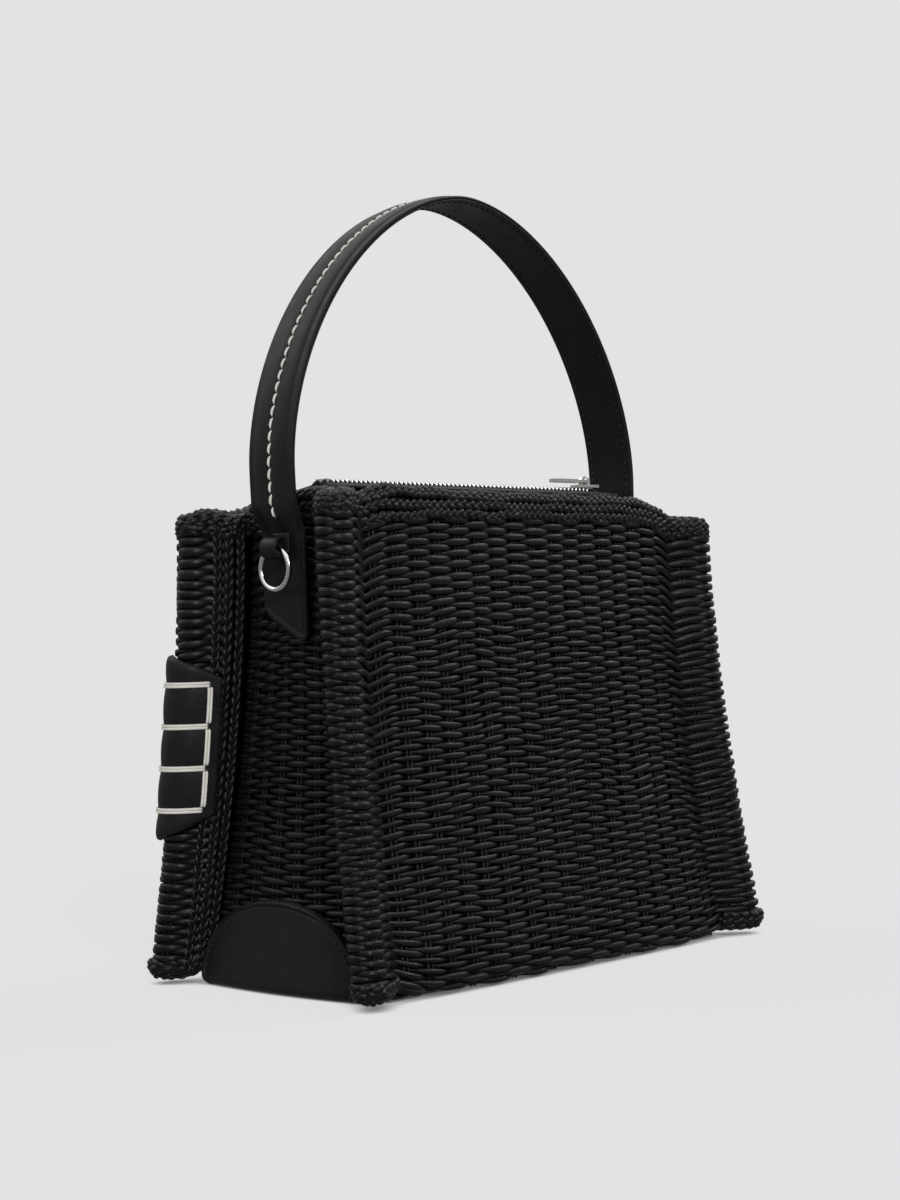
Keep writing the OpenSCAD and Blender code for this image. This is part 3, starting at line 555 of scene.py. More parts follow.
def fin_place(z, along, across):
    """A point of the fin in the first quadrant, at distances along and across it from its edge centre."""
    x = FIN_TOP[0] + FIN_FLARE[0] * flare(z) + along * FIN_COS - across * FIN_SIN
    y = FIN_TOP[1] + FIN_FLARE[1] * flare(z) + along * FIN_SIN + across * FIN_COS
    return x, y


def fin_outline(t):
    """Two straight sides joined by a half circle, t from 0 at the inner root to 1 at the crease: distance
    along, distance across, and the outward normal in the same two directions."""
    d = t * FIN_GIRTH
    turn = np.clip((d - FIN_LENGTH) / FIN_R, 0, np.pi) - np.pi / 2
    going = np.minimum(d, FIN_LENGTH) - FIN_LENGTH
    coming = np.maximum(d - FIN_LENGTH - np.pi * FIN_R, 0)
    return going - coming + FIN_R * np.cos(turn), FIN_R * np.sin(turn), np.cos(turn), np.sin(turn)


def quarter_round(z, r):
    """How far a rounded foot of radius r draws in at height z: a quarter circle."""
    low = np.clip(r - z, 0, r)
    return r - np.sqrt(r ** 2 - low ** 2)


def upper_part(height):
    """Eases from 0 at the height where edges start to dip to 1 at the rim."""
    return smooth((height - DIP_FROM) / (1 - DIP_FROM))


# %% Panels


def panel_at(column, height, crease_dip, fin_dip, crease_lift, fin_lift):
    """A point and outward normal of a panel on the back's side; height runs from 0 at the foot to 1 at
    the rim. The rows dip by some millimetres at the upper end of creases and fins, and rise at their
    lower end; each pair holds the left side's and the right side's."""
    column, height = np.broadcast_arrays(np.asarray(column, float), np.asarray(height, float))
    t = np.clip(np.minimum(column, PANEL_COLUMNS - column) / FIN_COLUMNS, 0, 1)
    hand = np.where(column < PANEL_COLUMNS / 2, 1.0, -1.0)
    crease_dip, fin_dip, crease_lift, fin_lift = (np.where(hand > 0, pair[1], pair[0])
                                                  for pair in (crease_dip, fin_dip, crease_lift, fin_lift))
    f = np.clip(1 - 2 * (column - FIN_COLUMNS) / FACE_COLUMNS, -1, 1)
    along, across, n_along, n_across = fin_outline(t)
    out_on_fin = np.clip((along + FIN_LENGTH) / (FIN_LENGTH / 2), 0, 1)
    near_crease = np.abs(f) ** 8
    on_face = t >= 1
    dip = np.where(on_face, crease_dip * near_crease, crease_dip + (fin_dip - crease_dip) * out_on_fin)
    lift = np.where(on_face, (crease_lift - WALL_LIFT) * near_crease,
                    crease_lift - WALL_LIFT + (fin_lift - crease_lift) * out_on_fin)
    z = (WALL_LIFT + height * (WALL_H - WALL_LIFT) - dip * upper_part(height)
         + lift * smooth((LIFT_TO - height) / LIFT_TO))
    fin_x, fin_y = fin_place(z, along, across)
    crease_x, crease_y = fin_place(z, -FIN_LENGTH, FIN_R)
    x = np.where(on_face, crease_x * f, fin_x * hand)
    swell = FACE_BULGE * (1 - f ** 4) - quarter_round(z, FOOT_R) * (1 - f ** 6)
    y = np.where(on_face, crease_y + swell, fin_y)
    normal_x = np.where(on_face, 0.0, (n_along * FIN_COS - n_across * FIN_SIN) * hand)
    normal_y = np.where(on_face, 1.0, n_along * FIN_SIN + n_across * FIN_COS)
    return np.stack([x, y, z], -1), np.stack([normal_x, normal_y, 0 * x], -1)


front_at, back_at = partial(panel_at, **FRONT_EDGES), partial(panel_at, **BACK_EDGES)
print("fin girth", round(float(FIN_GIRTH), 1), "mm; columns of a panel", PANEL_COLUMNS)

# %% Gussets
GUSSET_COLUMNS = 6
BORDER, BORDER_SHARE = 4.6, 0.87


def root_at(z):
    """The inner root of a fin, where the gusset is laced in: x and y."""
    return fin_place(z, -FIN_LENGTH, -FIN_R)


def gusset_x(y, z):
    """How far out the right gusset lies at y across it and height z: set in above, swelling below."""
    root_x, root_y = root_at(z)
    return root_x - GUSSET_SETBACK * (1 - flare(z)) + FOOT_BULGE * flare(z) * (1 - (y / root_y) ** 2)


def gusset_dip(share, side):
    """How far a gusset's upper edge dips towards the front crease, at share -1, and the back crease, at
    1. Side is 0 for the left gusset and 1 for the right."""
    return np.where(share < 0, FRONT_EDGES["crease_dip"][side], BACK_EDGES["crease_dip"][side]) * share ** 4


def gusset_at(column, height, side):
    """A point and outward normal of a gusset on the right, between its plaited borders."""
    column, height = np.broadcast_arrays(np.asarray(column, float), np.asarray(height, float))
    share = 2 * column / GUSSET_COLUMNS - 1
    dip = gusset_dip(BORDER_SHARE * share, side) * upper_part(height)
    z = WALL_LIFT + height * (WALL_H - WALL_LIFT) - dip
    y = share * (root_at(z)[1] - SEAM - BORDER)
    return np.stack([gusset_x(y, z), y, z], -1), np.broadcast_to([1.0, 0.0, 0.0], y.shape + (3,))


print("inner root of a fin at the rim", [round(float(v), 1) for v in root_at(WALL_H)])

# %% [markdown]
# ## The woven walls
# Each wall is a plain weave: stakes stand in pairs, and rows of cane pass in front of one pair and behind
# the next, with neighbouring rows taking turns. A texture can't give the dark holes and the rounded ends
# that this basket lives by, so every row is a real strand. Its depth is a sine of the column that is
# squared off, which gives the long flat tops and quick plunges of stiff cane. A strand looks widest in
# front of a stake, the rows below the rim are thicker and packed, and seeded unevenness makes it
# handwork. A dark inner skin closes the holes from behind.

# %% Weave
WEAVE_ROWS = 86
WEAVE_DEPTH = 1.0
SWING = 1.75
SQUARENESS = 0.30
FRONT_BIAS = 0.4
STRAND_OUT, STRAND_SIDE = 1.0, 1.14
STRAND_FLAT = 0.5
CREASE_SAG, CREASE_FACE, CREASE_FIN = 1.5, 0.8, 1.9
STEPS_PER_COLUMN = 5
UNEVEN_DEPTH, UNEVEN_UP, UNEVEN_THICK = 0.08, 0.2, 0.10
DRIFTS, DRIFT_ACROSS, DRIFT_DOWN = 6, (0.07, 0.30), (-0.05, 0.05)
DRIFT_UP, DRIFT_ALONG = 0.8, 0.12
FIN_SHALLOW, FIN_OUT, FIN_SIDE, FIN_EASE = 0.2, 0.15, 0.2, 0.3
PACKED, PACKED_FROM, PACKED_EASE = 0.22, 0.66, 0.16
THIN_BEHIND, WIDE_IN_FRONT, WIDE_WAVE = 0.84, 0.30, 1.3
COLUMN_W = 11.3
STAKE_R, STAKE_HALF_GAP = 0.85, 1.05
SKIN_IN, SKIN_T, SKIN_LOW, SKIN_FLOOR = 3.7, 0.8, -0.012, 0.2
LEVEL_ENDS = 6


def uneven(rows, columns, at, amount):
    """Seeded unevenness: one random number for each row and column, eased along the columns."""
    values = rng.normal(0, amount, (rows, columns + 2))
    k = np.clip(np.floor(at + 0.5).astype(int), 0, columns)
    t = smooth(at + 0.5 - k)
    return values[:, k] * (1 - t) + values[:, k + 1] * t


def drifting(at, row, amount):
    """Slow unevenness that neighbouring rows share: a sum of seeded waves across columns and rows."""
    across, down = rng.uniform(*DRIFT_ACROSS, DRIFTS), rng.uniform(*DRIFT_DOWN, DRIFTS)
    start = rng.random(DRIFTS)
    turns = across[:, None, None] * at[None, None] + down[:, None, None] * row[None] + start[:, None, None]
    return amount * np.sin(2 * np.pi * turns).sum(0) / DRIFTS ** 0.5


def woven_wall(wall_at, columns, fin_columns, flip):
    """Rows and stakes of one wall. Row i swings by w = sin(pi (column + i)) + FRONT_BIAS, squared off by
    dividing it by the root of w squared plus SQUARENESS, in front of and behind the middle of the wall.
    The bias keeps a strand longer in front than behind, so that strokes overlap. On a fin they are
    thicker, and they sag to its crease."""
    at = np.linspace(0, columns, columns * STEPS_PER_COLUMN + 1)
    row = np.arange(WEAVE_ROWS)[:, None]
    height = (row + 0.5) / WEAVE_ROWS
    inside = np.clip(LEVEL_ENDS * height * (1 - height), 0, 1)
    wave = np.sin(np.pi * (at[None] + row + drifting(at, row, DRIFT_ALONG))) + FRONT_BIAS
    swing = wave / np.sqrt(wave ** 2 + SQUARENESS)
    points, normals = wall_at(at[None], height)
    edge = np.minimum(at, columns - at)
    on_fin = smooth((fin_columns + FIN_EASE - edge) / (2 * FIN_EASE))
    off_crease = np.maximum((edge - fin_columns) / CREASE_FACE, (fin_columns - edge) / CREASE_FIN)
    crease = (fin_columns > 0) * np.clip(1 - off_crease, 0, 1)
    depth = SWING * swing * (1 - FIN_SHALLOW * on_fin) * (1 + uneven(WEAVE_ROWS, columns, at, UNEVEN_DEPTH))
    points = points + (depth - WEAVE_DEPTH)[..., None] * normals
    own_height = uneven(WEAVE_ROWS, columns, at, UNEVEN_UP)
    points[..., 2] += own_height + inside * (drifting(at, row, DRIFT_UP) - CREASE_SAG * crease)
    packed = 1 + PACKED * smooth((row / WEAVE_ROWS - PACKED_FROM) / PACKED_EASE)
    broad = THIN_BEHIND + WIDE_IN_FRONT * smooth(wave / WIDE_WAVE)
    thick = packed * broad * (1 + uneven(WEAVE_ROWS, columns, at, UNEVEN_THICK))
    rows = tubes(points * flip, normals * flip, STRAND_OUT * (1 + FIN_OUT * on_fin),
                 STRAND_SIDE * thick * (1 + FIN_SIDE * on_fin), flat=STRAND_FLAT)
    heights = np.linspace(0.0, 1.0, 26)
    middle = np.repeat(np.arange(columns) + 0.5, 2) + np.tile([-1, 1], columns) * STAKE_HALF_GAP / COLUMN_W
    posts, post_normals = wall_at(middle[:, None], heights[None])
    posts = posts - WEAVE_DEPTH * post_normals
    stakes = tubes(posts * flip, post_normals * flip, STAKE_R, STAKE_R, sides=6)
    return rows, stakes


def inner_skin(wall_at, low, high, flip):
    """A thin skin behind a wall's strands, set in from its plan by SKIN_IN, from column low to high."""
    skin, normals = wall_at(np.linspace(low, high, 93)[None], np.linspace(SKIN_LOW, 1.0, 24)[:, None])
    outer, inner = skin - SKIN_IN * normals, skin - (SKIN_IN + SKIN_T) * normals
    for grid in (outer, inner):
        grid[..., 2] = np.maximum(grid[..., 2], SKIN_FLOOR)
    return slab(outer * flip, inner * flip)


# %% Walls
LEFT, RIGHT = np.array([-1.0, 1, 1]), np.array([1.0, 1, 1])
FRONT, BACK = np.array([1.0, -1, 1]), np.array([1.0, 1, 1])
NO_FINS = -1
SKIN_OVER = 0.6
walls = (
    ("front_panel", front_at, PANEL_COLUMNS, FIN_COLUMNS, 0.0, FRONT),
    ("back_panel", back_at, PANEL_COLUMNS, FIN_COLUMNS, 0.0, BACK),
    ("left_gusset", partial(gusset_at, side=0), GUSSET_COLUMNS, NO_FINS, SKIN_OVER, LEFT),
    ("right_gusset", partial(gusset_at, side=1), GUSSET_COLUMNS, NO_FINS, SKIN_OVER, RIGHT),
)
for node, wall_at, columns, fin_columns, over, flip in walls:
    rows, stakes = woven_wall(wall_at, columns, fin_columns, flip)
    piece(node + "_weave", [rows], cane, stands_for=[node])
    skin = inner_skin(wall_at, -over, columns + over, flip)
    piece(node + "_stakes", [stakes, skin], cane)

# %% [markdown]
# ## Plaited edges
# The gussets are laced to the fins between upright plaits, and rows of plait close the rim and cover the
# tops of the fins. A plait is three strands that follow one line: each sways sideways as a sine and dips
# as a sine of twice the speed, a third of a turn behind its neighbour, which is what makes strands pass
# over in turn.

# %% Plaits
UNEVEN_PITCH, UNEVEN_REACH, UNEVEN_PLAIT = 0.16, 5.3, 0.12


def plait(line, out, pitch, sway, dip, thick, ring=False):
    """Strand k of 3: line + sway sin(q) side + dip sin(2q) out, where q = 2 pi (length / pitch + k / 3).
    A slow seeded wave hurries and holds the turns, as a hand does."""
    line, out = np.asarray(line, float), np.broadcast_to(out, np.shape(line))
    ahead = np.roll(line, -1, 0) - np.roll(line, 1, 0)
    if not ring:
        ahead[0] = line[1] - line[0]
        ahead[-1] = line[-1] - line[-2]
    side = unit(np.cross(ahead, out))
    length = line_length(line)
    if ring:
        whole = length[-1] + np.linalg.norm(line[0] - line[-1])
        pitch = whole / round(whole / pitch)
    hurry = UNEVEN_PITCH * np.sin(2 * np.pi * length / (UNEVEN_REACH * pitch) + 6 * rng.random())
    hurry = hurry * np.sin(np.pi * length / length[-1]) ** 2
    q = 2 * np.pi * ((length / pitch + hurry)[None] + np.arange(3)[:, None] / 3)
    thick = thick * (1 + UNEVEN_PLAIT * np.sin(q + 6 * rng.random()))
    lines = line + sway * np.sin(q)[..., None] * side + dip * np.sin(2 * q)[..., None] * out
    return tubes(lines, np.broadcast_to(out, lines.shape), thick, thick, sides=6, ring=ring)


# %% Corner seams
BORDER_PITCH, BORDER_SWAY, BORDER_DIP, BORDER_STRAND = 12.6, 1.3, 0.7, 1.0
SEAM_AT, SEAM_FURTHER, FOOT_SPREAD = 2.0, 6.8, 2.0
SEAM_OUT, FURTHER_OUT, CORNER_SHIFT = 0.5, 0.6, (0.4, -1.0)
CORNER_OUT = unit(np.array([1.0, -0.9, 0]))


def corner_seams(wall_at):
    """Three upright lines where a fin meets the gusset, with their outward directions: two on the fin and
    one in the corner. They draw apart towards the foot."""
    heights = np.linspace(0.0, 1.0, 170)
    z = wall_at(0.0, heights)[0][:, 2]
    spread = FOOT_SPREAD * flare(z)
    near, fin_out = wall_at(FIN_COLUMNS * (SEAM_AT + spread) / FIN_GIRTH, heights)
    further, _ = wall_at(FIN_COLUMNS * (SEAM_FURTHER + spread) / FIN_GIRTH, heights)
    x, y = root_at(z)
    corner_x = x - GUSSET_SETBACK / 2 * (1 - flare(z)) + CORNER_SHIFT[0]
    in_corner = np.stack([corner_x, y + CORNER_SHIFT[1], z], -1)
    return ((further + FURTHER_OUT * fin_out, fin_out), (near + SEAM_OUT * fin_out, fin_out),
            (in_corner, CORNER_OUT))


fin_sides = [(wall_at, across * deep) for wall_at, deep in ((front_at, FRONT), (back_at, BACK))
             for across in (LEFT, RIGHT)]
borders = [plait(line * flip, out * flip, BORDER_PITCH, BORDER_SWAY, BORDER_DIP, BORDER_STRAND)
           for wall_at, flip in fin_sides for line, out in corner_seams(wall_at)]
piece("corner_plaits", borders, cane)

# %% [markdown]
# Rows of plait lie one over another round the mouth: three face out, one lies on top and one faces in.
# The rim stands higher on the faces and highest on the gussets, where its strands are thicker, and it is
# rounded down at the tips of the fins. The line that it follows is the mouth of the basket, taken from
# the upper edges of the walls.

# %% Mouth
RIM_STEP, RIM_BLUR = 1.2, 2.0


def even_ring(line, step, blur):
    """A closed line again, with points a step apart, each the mean of its neighbours."""
    closed = np.concatenate([line, line[:1]])
    length = line_length(closed)
    count = round(length[-1] / step)
    at = np.arange(count) * length[-1] / count
    ring = walked(closed, length, at)
    reach = round(blur / step)
    return np.mean([np.roll(ring, k, 0) for k in range(-reach, reach + 1)], axis=0)


edge_columns = np.linspace(0, PANEL_COLUMNS, 400)
back_edge, back_out = back_at(edge_columns, 1.0)
front_edge, front_out = (grid * FRONT for grid in front_at(edge_columns, 1.0))
gusset_share = np.linspace(-1, 1, 60)
rim_x, rim_y = root_at(WALL_H)
left_edge, right_edge = (np.stack([np.full(60, rim_x - GUSSET_SETBACK), gusset_share * rim_y,
                                   WALL_H - gusset_dip(gusset_share, side)], -1) for side in (0, 1))
gusset_out = np.tile([1.0, 0, 0], (60, 1))
mouth = np.concatenate([back_edge, left_edge[::-1] * LEFT, front_edge[::-1], right_edge])
mouth_out = np.concatenate([back_out, gusset_out * LEFT, front_out[::-1], gusset_out])
print("mouth", len(mouth), "points round")

# %% Rise of the rim
FACE_RISE, GUSSET_RISE, GUSSET_THICK = 2.0, 1.6, 0.3
CORNER_RISE, NOSE_DROP = 3.0, 2.4
RIM_WOBBLE, RIM_WAVES = 0.25, 4
GUSSET_X, GUSSET_Y = (88, 5), (-26, 16)
FIN_TOP_X, FIN_TOP_Y = (92, 12), (20, 10)
CORNER_X, CORNER_Y = (40, 50), (10, 15)


def past(value, start, ease):
    """Eases from 0 to 1 over some length after a value has passed its start."""
    return smooth((value - start) / ease)


def on_gusset(line):
    """1 in the middle of a gusset's rim, easing to 0 at its corners and on the faces."""
    return past(np.abs(line[:, 0]), *GUSSET_X) * past(-np.abs(line[:, 1]), *GUSSET_Y)


def on_fin_top(line):
    """1 on the top of a fin and 0 elsewhere."""
    return past(np.abs(line[:, 0]), *FIN_TOP_X) * past(np.abs(line[:, 1]), *FIN_TOP_Y)


def on_nose(line):
    """1 at the tip of a fin's top, where the rim is rounded down, and 0 behind it."""
    return past(np.hypot(line[:, 0], line[:, 1]), np.hypot(*FIN_TOP), FIN_R)


def near_front_corner(line):
    """1 on the left end of the front edge, where the rim stands highest, easing to 0 further on."""
    return past(-line[:, 0], *CORNER_X) * past(-line[:, 1], *CORNER_Y) * (1 - on_fin_top(line))


def rim_line(inwards, raised, share):
    """The mouth's outline, set in and raised, and lifted by a share of the rim's own rise at each place.
    Seeded waves make it a little uneven."""
    line = mouth - inwards * mouth_out
    line[:, 2] += raised + share * (FACE_RISE * (1 - on_fin_top(mouth)) + GUSSET_RISE * on_gusset(mouth)
                                    + CORNER_RISE * near_front_corner(mouth) - NOSE_DROP * on_nose(mouth))
    ring = even_ring(line, RIM_STEP, RIM_BLUR)
    turns = np.arange(len(ring)) / len(ring)
    waves = rng.integers(9, 40, RIM_WAVES)[:, None] * turns + rng.random((RIM_WAVES, 1))
    ring[:, 2] += RIM_WOBBLE * np.sin(2 * np.pi * waves).sum(0)
    return ring


# %% Rim
RIM_PITCH, RIM_SWAY, RIM_DIP, RIM_STRAND = 12.2, 1.25, 0.9, 1.38
RIM_ROWS = ((0.0, -1.2, 0.0, 0.0), (0.1, 1.6, 0.45, 0.0), (0.7, 4.2, 0.9, 0.25),
            (2.9, 5.0, 1.0, np.pi / 2), (5.4, 3.2, 1.0, np.pi))
RIM_CORE, RIM_CORE_R = (3.0, 2.2, 0.7), 2.4
UP = np.array([0, 0, 1.0])


def rim_row(inwards, raised, share, tilt):
    """One row of plait, set in and raised with a share of the rim's rise; it faces out at tilt 0, up at a
    quarter turn and in at a half turn."""
    line = rim_line(inwards, raised, share)
    away = unit(np.cross(np.roll(line, -1, 0) - np.roll(line, 1, 0), UP))
    away = away * np.sign(np.sum(away * (line - line.mean(0))))
    facing = np.cos(tilt) * away + np.sin(tilt) * UP
    thick = RIM_STRAND * (1 + GUSSET_THICK * on_gusset(line))
    return plait(line, facing, RIM_PITCH, RIM_SWAY, RIM_DIP, thick, ring=True)


rim_rows = [rim_row(*row) for row in RIM_ROWS]
rim_rows.append(tubes(rim_line(*RIM_CORE)[None], UP, RIM_CORE_R, RIM_CORE_R, sides=6, ring=True))
piece("rim_plait_rows", rim_rows, cane, stands_for=["rim_plait"])

# %% [markdown]
# At the top the rim runs over the fins. At the foot, rows of thick plait close each fin into a rounded
# knob.

# %% Ends of the fins
FOOT_PITCH, FOOT_SWAY, FOOT_DIP, FOOT_STRAND = 15.0, 1.5, 0.8, 1.35
FOOT_ROWS = ((-0.2, 3.6, 0.0), (1.0, 0.9, 0.6), (3.6, -0.2, 1.3))


def foot_plait(wall_at, flip, inwards, raised, tilt):
    """A row of plait round the foot of one fin; it faces out at tilt 0 and down at a quarter turn."""
    edge, normal = wall_at(np.linspace(0.02, 0.98, 90) * FIN_COLUMNS, 0.0)
    line = edge - inwards * normal + raised * UP
    facing = np.cos(tilt) * normal - np.sin(tilt) * UP
    return plait(line * flip, facing * flip, FOOT_PITCH, FOOT_SWAY, FOOT_DIP, FOOT_STRAND)


ends = [foot_plait(wall_at, flip, *row) for wall_at, flip in fin_sides for row in FOOT_ROWS]
piece("fin_ends", ends, cane)

# %% [markdown]
# ## The base and the lining
# Under the bag the same cane is woven flat, row by row along its length. Inside hangs a thin cloth
# lining, which the closed top hides, so its cut is a guess.

# %% Base
BASE_ROWS, BASE_COLUMNS, BASE_T = 42, 15, 5.0
BASE_SWING, BASE_OUT, BASE_SIDE, POST_IN = 1.25, 1.1, 1.4, 2.0
low_y = root_at(WALL_LIFT)[1]
foot_y = fin_place(WALL_LIFT, -FIN_LENGTH, FIN_R)[1] + FACE_BULGE - quarter_round(WALL_LIFT, FOOT_R)
base_half = foot_y - WALL_T - SEAM - BASE_SIDE
base_y = np.linspace(-1, 1, BASE_ROWS)[:, None] * base_half
base_at = np.linspace(-1, 1, BASE_COLUMNS * STEPS_PER_COLUMN + 1)[None]
end_x = gusset_x(np.clip(base_y, -low_y, low_y), WALL_LIFT) - WALL_T - 2 * SEAM
base_wave = np.sin(np.pi * ((base_at + 1) / 2 * BASE_COLUMNS + np.arange(BASE_ROWS)[:, None]))
base_swing = BASE_SWING * base_wave / np.sqrt(base_wave ** 2 + SQUARENESS)
base_rows = np.stack([base_at * end_x, base_y + 0 * base_at, BASE_T / 2 - base_swing], -1)
post_x = (np.repeat(np.arange(BASE_COLUMNS) + 0.5, 2) / BASE_COLUMNS * 2 - 1) * end_x.max()
post_x = post_x + np.tile([-1, 1], BASE_COLUMNS) * STAKE_HALF_GAP
post_y = np.linspace(-1, 1, 12) * (low_y - POST_IN)
post_x, post_y = np.meshgrid(post_x, post_y, indexing="ij")
base_posts = np.stack([post_x, post_y, np.full(post_x.shape, BASE_T / 2)], -1)
base_parts = [tubes(base_rows, -UP, BASE_OUT, BASE_SIDE), tubes(base_posts, -UP, STAKE_R, STAKE_R, sides=6)]
piece("base_weave", base_parts, cane, stands_for=["base_mat"])

# %% Lining
LINING_IN, LINING_T, LINING_FLOOR = 6.3, 0.8, 6.3
LINING_POINTS, LINING_STEP = 220, 2.4
CORNER_CLEAR, CORNER_SQUEEZE = 2.0, 0.3


def lining_ring(z, inwards):
    """The outline inside the walls at one height: faces and gussets set in, corners rounded."""
    f = np.linspace(1, -1, 60)
    crease_x, crease_y = fin_place(z, -FIN_LENGTH, FIN_R)
    root_x, root_y = root_at(z)
    face_x = f * (root_x - GUSSET_SETBACK - inwards - CORNER_CLEAR)
    face_y = crease_y + FACE_BULGE * (1 - (face_x / crease_x) ** 4) - quarter_round(z, FOOT_R) - inwards
    corner_y = root_y - inwards * CORNER_SQUEEZE
    end_y = np.linspace(-0.96, 0.96, 30) * corner_y
    face = np.stack([face_x, np.maximum(face_y, corner_y), np.full(60, z)], -1)
    end = np.stack([gusset_x(end_y, z) - inwards, end_y, np.full(30, z)], -1)
    outline = np.concatenate([face, end[::-1] * LEFT, face[::-1] * FRONT, end])
    ring = even_ring(outline, LINING_STEP, 2 * LINING_STEP)
    closed = np.concatenate([ring, ring[:1]])
    length = line_length(closed)
    return walked(closed, length, np.arange(LINING_POINTS) * length[-1] / LINING_POINTS)


lining_levels = np.concatenate([np.linspace(7.5, 20, 6), np.linspace(40, WALL_H - 1, 10)])
closing = np.array([0.05, 0.35, 0.7, 0.96])[:, None, None]
lining_grids = []
for inwards, lowest in ((LINING_IN, LINING_FLOOR), (LINING_IN + LINING_T, LINING_FLOOR + LINING_T)):
    side_grid = np.stack([lining_ring(z, inwards) for z in lining_levels])
    lining_grids.append(np.concatenate([side_grid[:1] * [1, 1, 0] * closing + [0, 0, lowest], side_grid]))
lining = piece("lining_bag", [slab(*lining_grids, ring=True, capped=True)], black_cloth,
               stands_for=["lining"])

# %% [markdown]
# ## The handle
# The handle is one long strip of leather. It lies flat on the gusset with a slanted tip, bends out over
# the rim and arches across the bag. Two padded ridges run along its outer face with a valley between
# them, a second strip backs it inside, and a row of cream saddle stitches follows the valley. The strip
# is a closed profile carried along the arch, and its slanted tips come from ending each lengthwise line
# at its own height.

# %% Handle path
HANDLE_Z, SPRING_Z, STRAP_END_Z = 323.1, 207.0, 180.5
TAB_X, TAB_T, TAB_TIP_Z, TAB_SLANT = 98.70, 1.7, 135.3, 14.0
LEG_X, ARCH_X, ARCH_POWER = 104.9, 105.6, 1.8
STRAP_W, STRAP_T, BACKING_T, PAD_H = 25.0, 1.4, 0.9, 0.9
TAB_MIDDLE = TAB_X + TAB_T / 2
BEND_Z, BEND_L = 179.0, 13.0
LOOK_ALONG = 0.8

angle = np.linspace(0, np.pi / 2, 200)
arch_x = ARCH_X * np.cos(angle) ** (2 / ARCH_POWER)
arch_z = SPRING_Z + (HANDLE_Z - SPRING_Z) * np.sin(angle) ** (2 / ARCH_POWER)
leg_z = np.linspace(TAB_TIP_Z, SPRING_Z, 160, endpoint=False)
leg_x = (TAB_MIDDLE + (LEG_X - TAB_MIDDLE) * smooth((leg_z - BEND_Z) / BEND_L)
         + (ARCH_X - LEG_X) * smooth((leg_z - STRAP_END_Z) / (SPRING_Z - STRAP_END_Z)))
right_half = np.stack([np.concatenate([leg_x, arch_x]), np.concatenate([leg_z, arch_z])], -1)
handle_line = np.concatenate([right_half, right_half[-2::-1] * [-1, 1]])
handle_length = line_length(handle_line)
HANDLE_L = handle_length[-1]


def handle_at(s):
    """A point of the handle's middle line at length s from the right tip, and the outward way there."""
    before, here, after = (walked(handle_line, handle_length, s + step)
                           for step in (-LOOK_ALONG, 0, LOOK_ALONG))
    ahead = unit(after - before)
    zero = np.zeros(np.shape(s))
    point = np.stack([here[..., 0], zero, here[..., 1]], -1)
    return point, np.stack([ahead[..., 1], zero, -ahead[..., 0]], -1)


def on_handle(s, across, height):
    """A point at length s along the handle, at a place across it and a height over its middle layer."""
    middle, outward_there = handle_at(s)
    point = middle + np.asarray(height)[..., None] * outward_there
    point[..., 1] += across
    return point, outward_there


print("handle strip", round(float(HANDLE_L), 1), "mm long")

# %% Profile of the strap
half_across = [0, 0.5, 0.8, 1.1, 1.7, 2.6, 3.7, 4.9, 6.1, 7.2, 8.1, 8.7, 9.05,
               9.4, 9.9, 10.4, 11.0, 11.6, 12.0]
FLAT_ACROSS = np.concatenate([-np.array(half_across[:0:-1]), half_across])
EDGE_R = STRAP_W / 2 - FLAT_ACROSS[-1]
LOBE_MIDDLE, LOBE_HALF = 4.9, 4.3
PAD_START, PAD_RAMP, PAD_ROUND = 43.0, 7.0, 0.3
TAB_CORNER = 5.5
TURNED_H, TURNED_SIDE, TURNED_END, TURNED_EASE = 0.35, 10.2, 2.4, 0.7
TURNED_STOP, TURNED_FADE = 48.0, 6.0


def strip_profile(flat_across):
    """A flat bar with round edges, as places across it and heights from -1/2 to 1/2."""
    turn = np.linspace(np.pi / 2, -np.pi / 2, 6)[1:-1]
    edge = flat_across[-1] + EDGE_R * np.cos(turn)
    across = np.concatenate([flat_across, edge, flat_across[::-1], -edge])
    flat = np.full(len(flat_across), 0.5)
    return across, np.concatenate([flat, 0.5 * np.sin(turn), -flat, -0.5 * np.sin(turn)])


def from_end(s):
    """Length to the nearer tip of the strip."""
    return np.minimum(s, HANDLE_L - s)


def pad_height(s, across):
    """Two padded ridges: half circles on both sides of the middle, which fade out above the tab."""
    lobe = np.clip(1 - ((np.abs(across) - LOBE_MIDDLE) / LOBE_HALF) ** 2, 0, 1) ** 0.5
    return PAD_H * lobe * smooth((from_end(s) - PAD_START + PAD_ROUND * np.abs(across)) / PAD_RAMP)


def tip_shift(across, hand):
    """How much shorter the strip is at a place across it: a slant, with the corners rounded off."""
    over = np.clip(np.abs(across) - (STRAP_W / 2 - TAB_CORNER), 0, TAB_CORNER)
    slant = TAB_SLANT * np.clip(0.5 + hand * across / STRAP_W, 0, 1)
    return slant + TAB_CORNER - np.sqrt(TAB_CORNER ** 2 - over ** 2)


def raised_border(s, across, tip):
    """The turned edge of a tab: a low rim along its sides and its slanted end."""
    sides = smooth((np.abs(across) - TURNED_SIDE) / TURNED_EASE)
    end = smooth((TURNED_END - (s - tip)) / TURNED_EASE)
    return TURNED_H * np.maximum(sides, end) * smooth((TURNED_STOP - s) / TURNED_FADE)


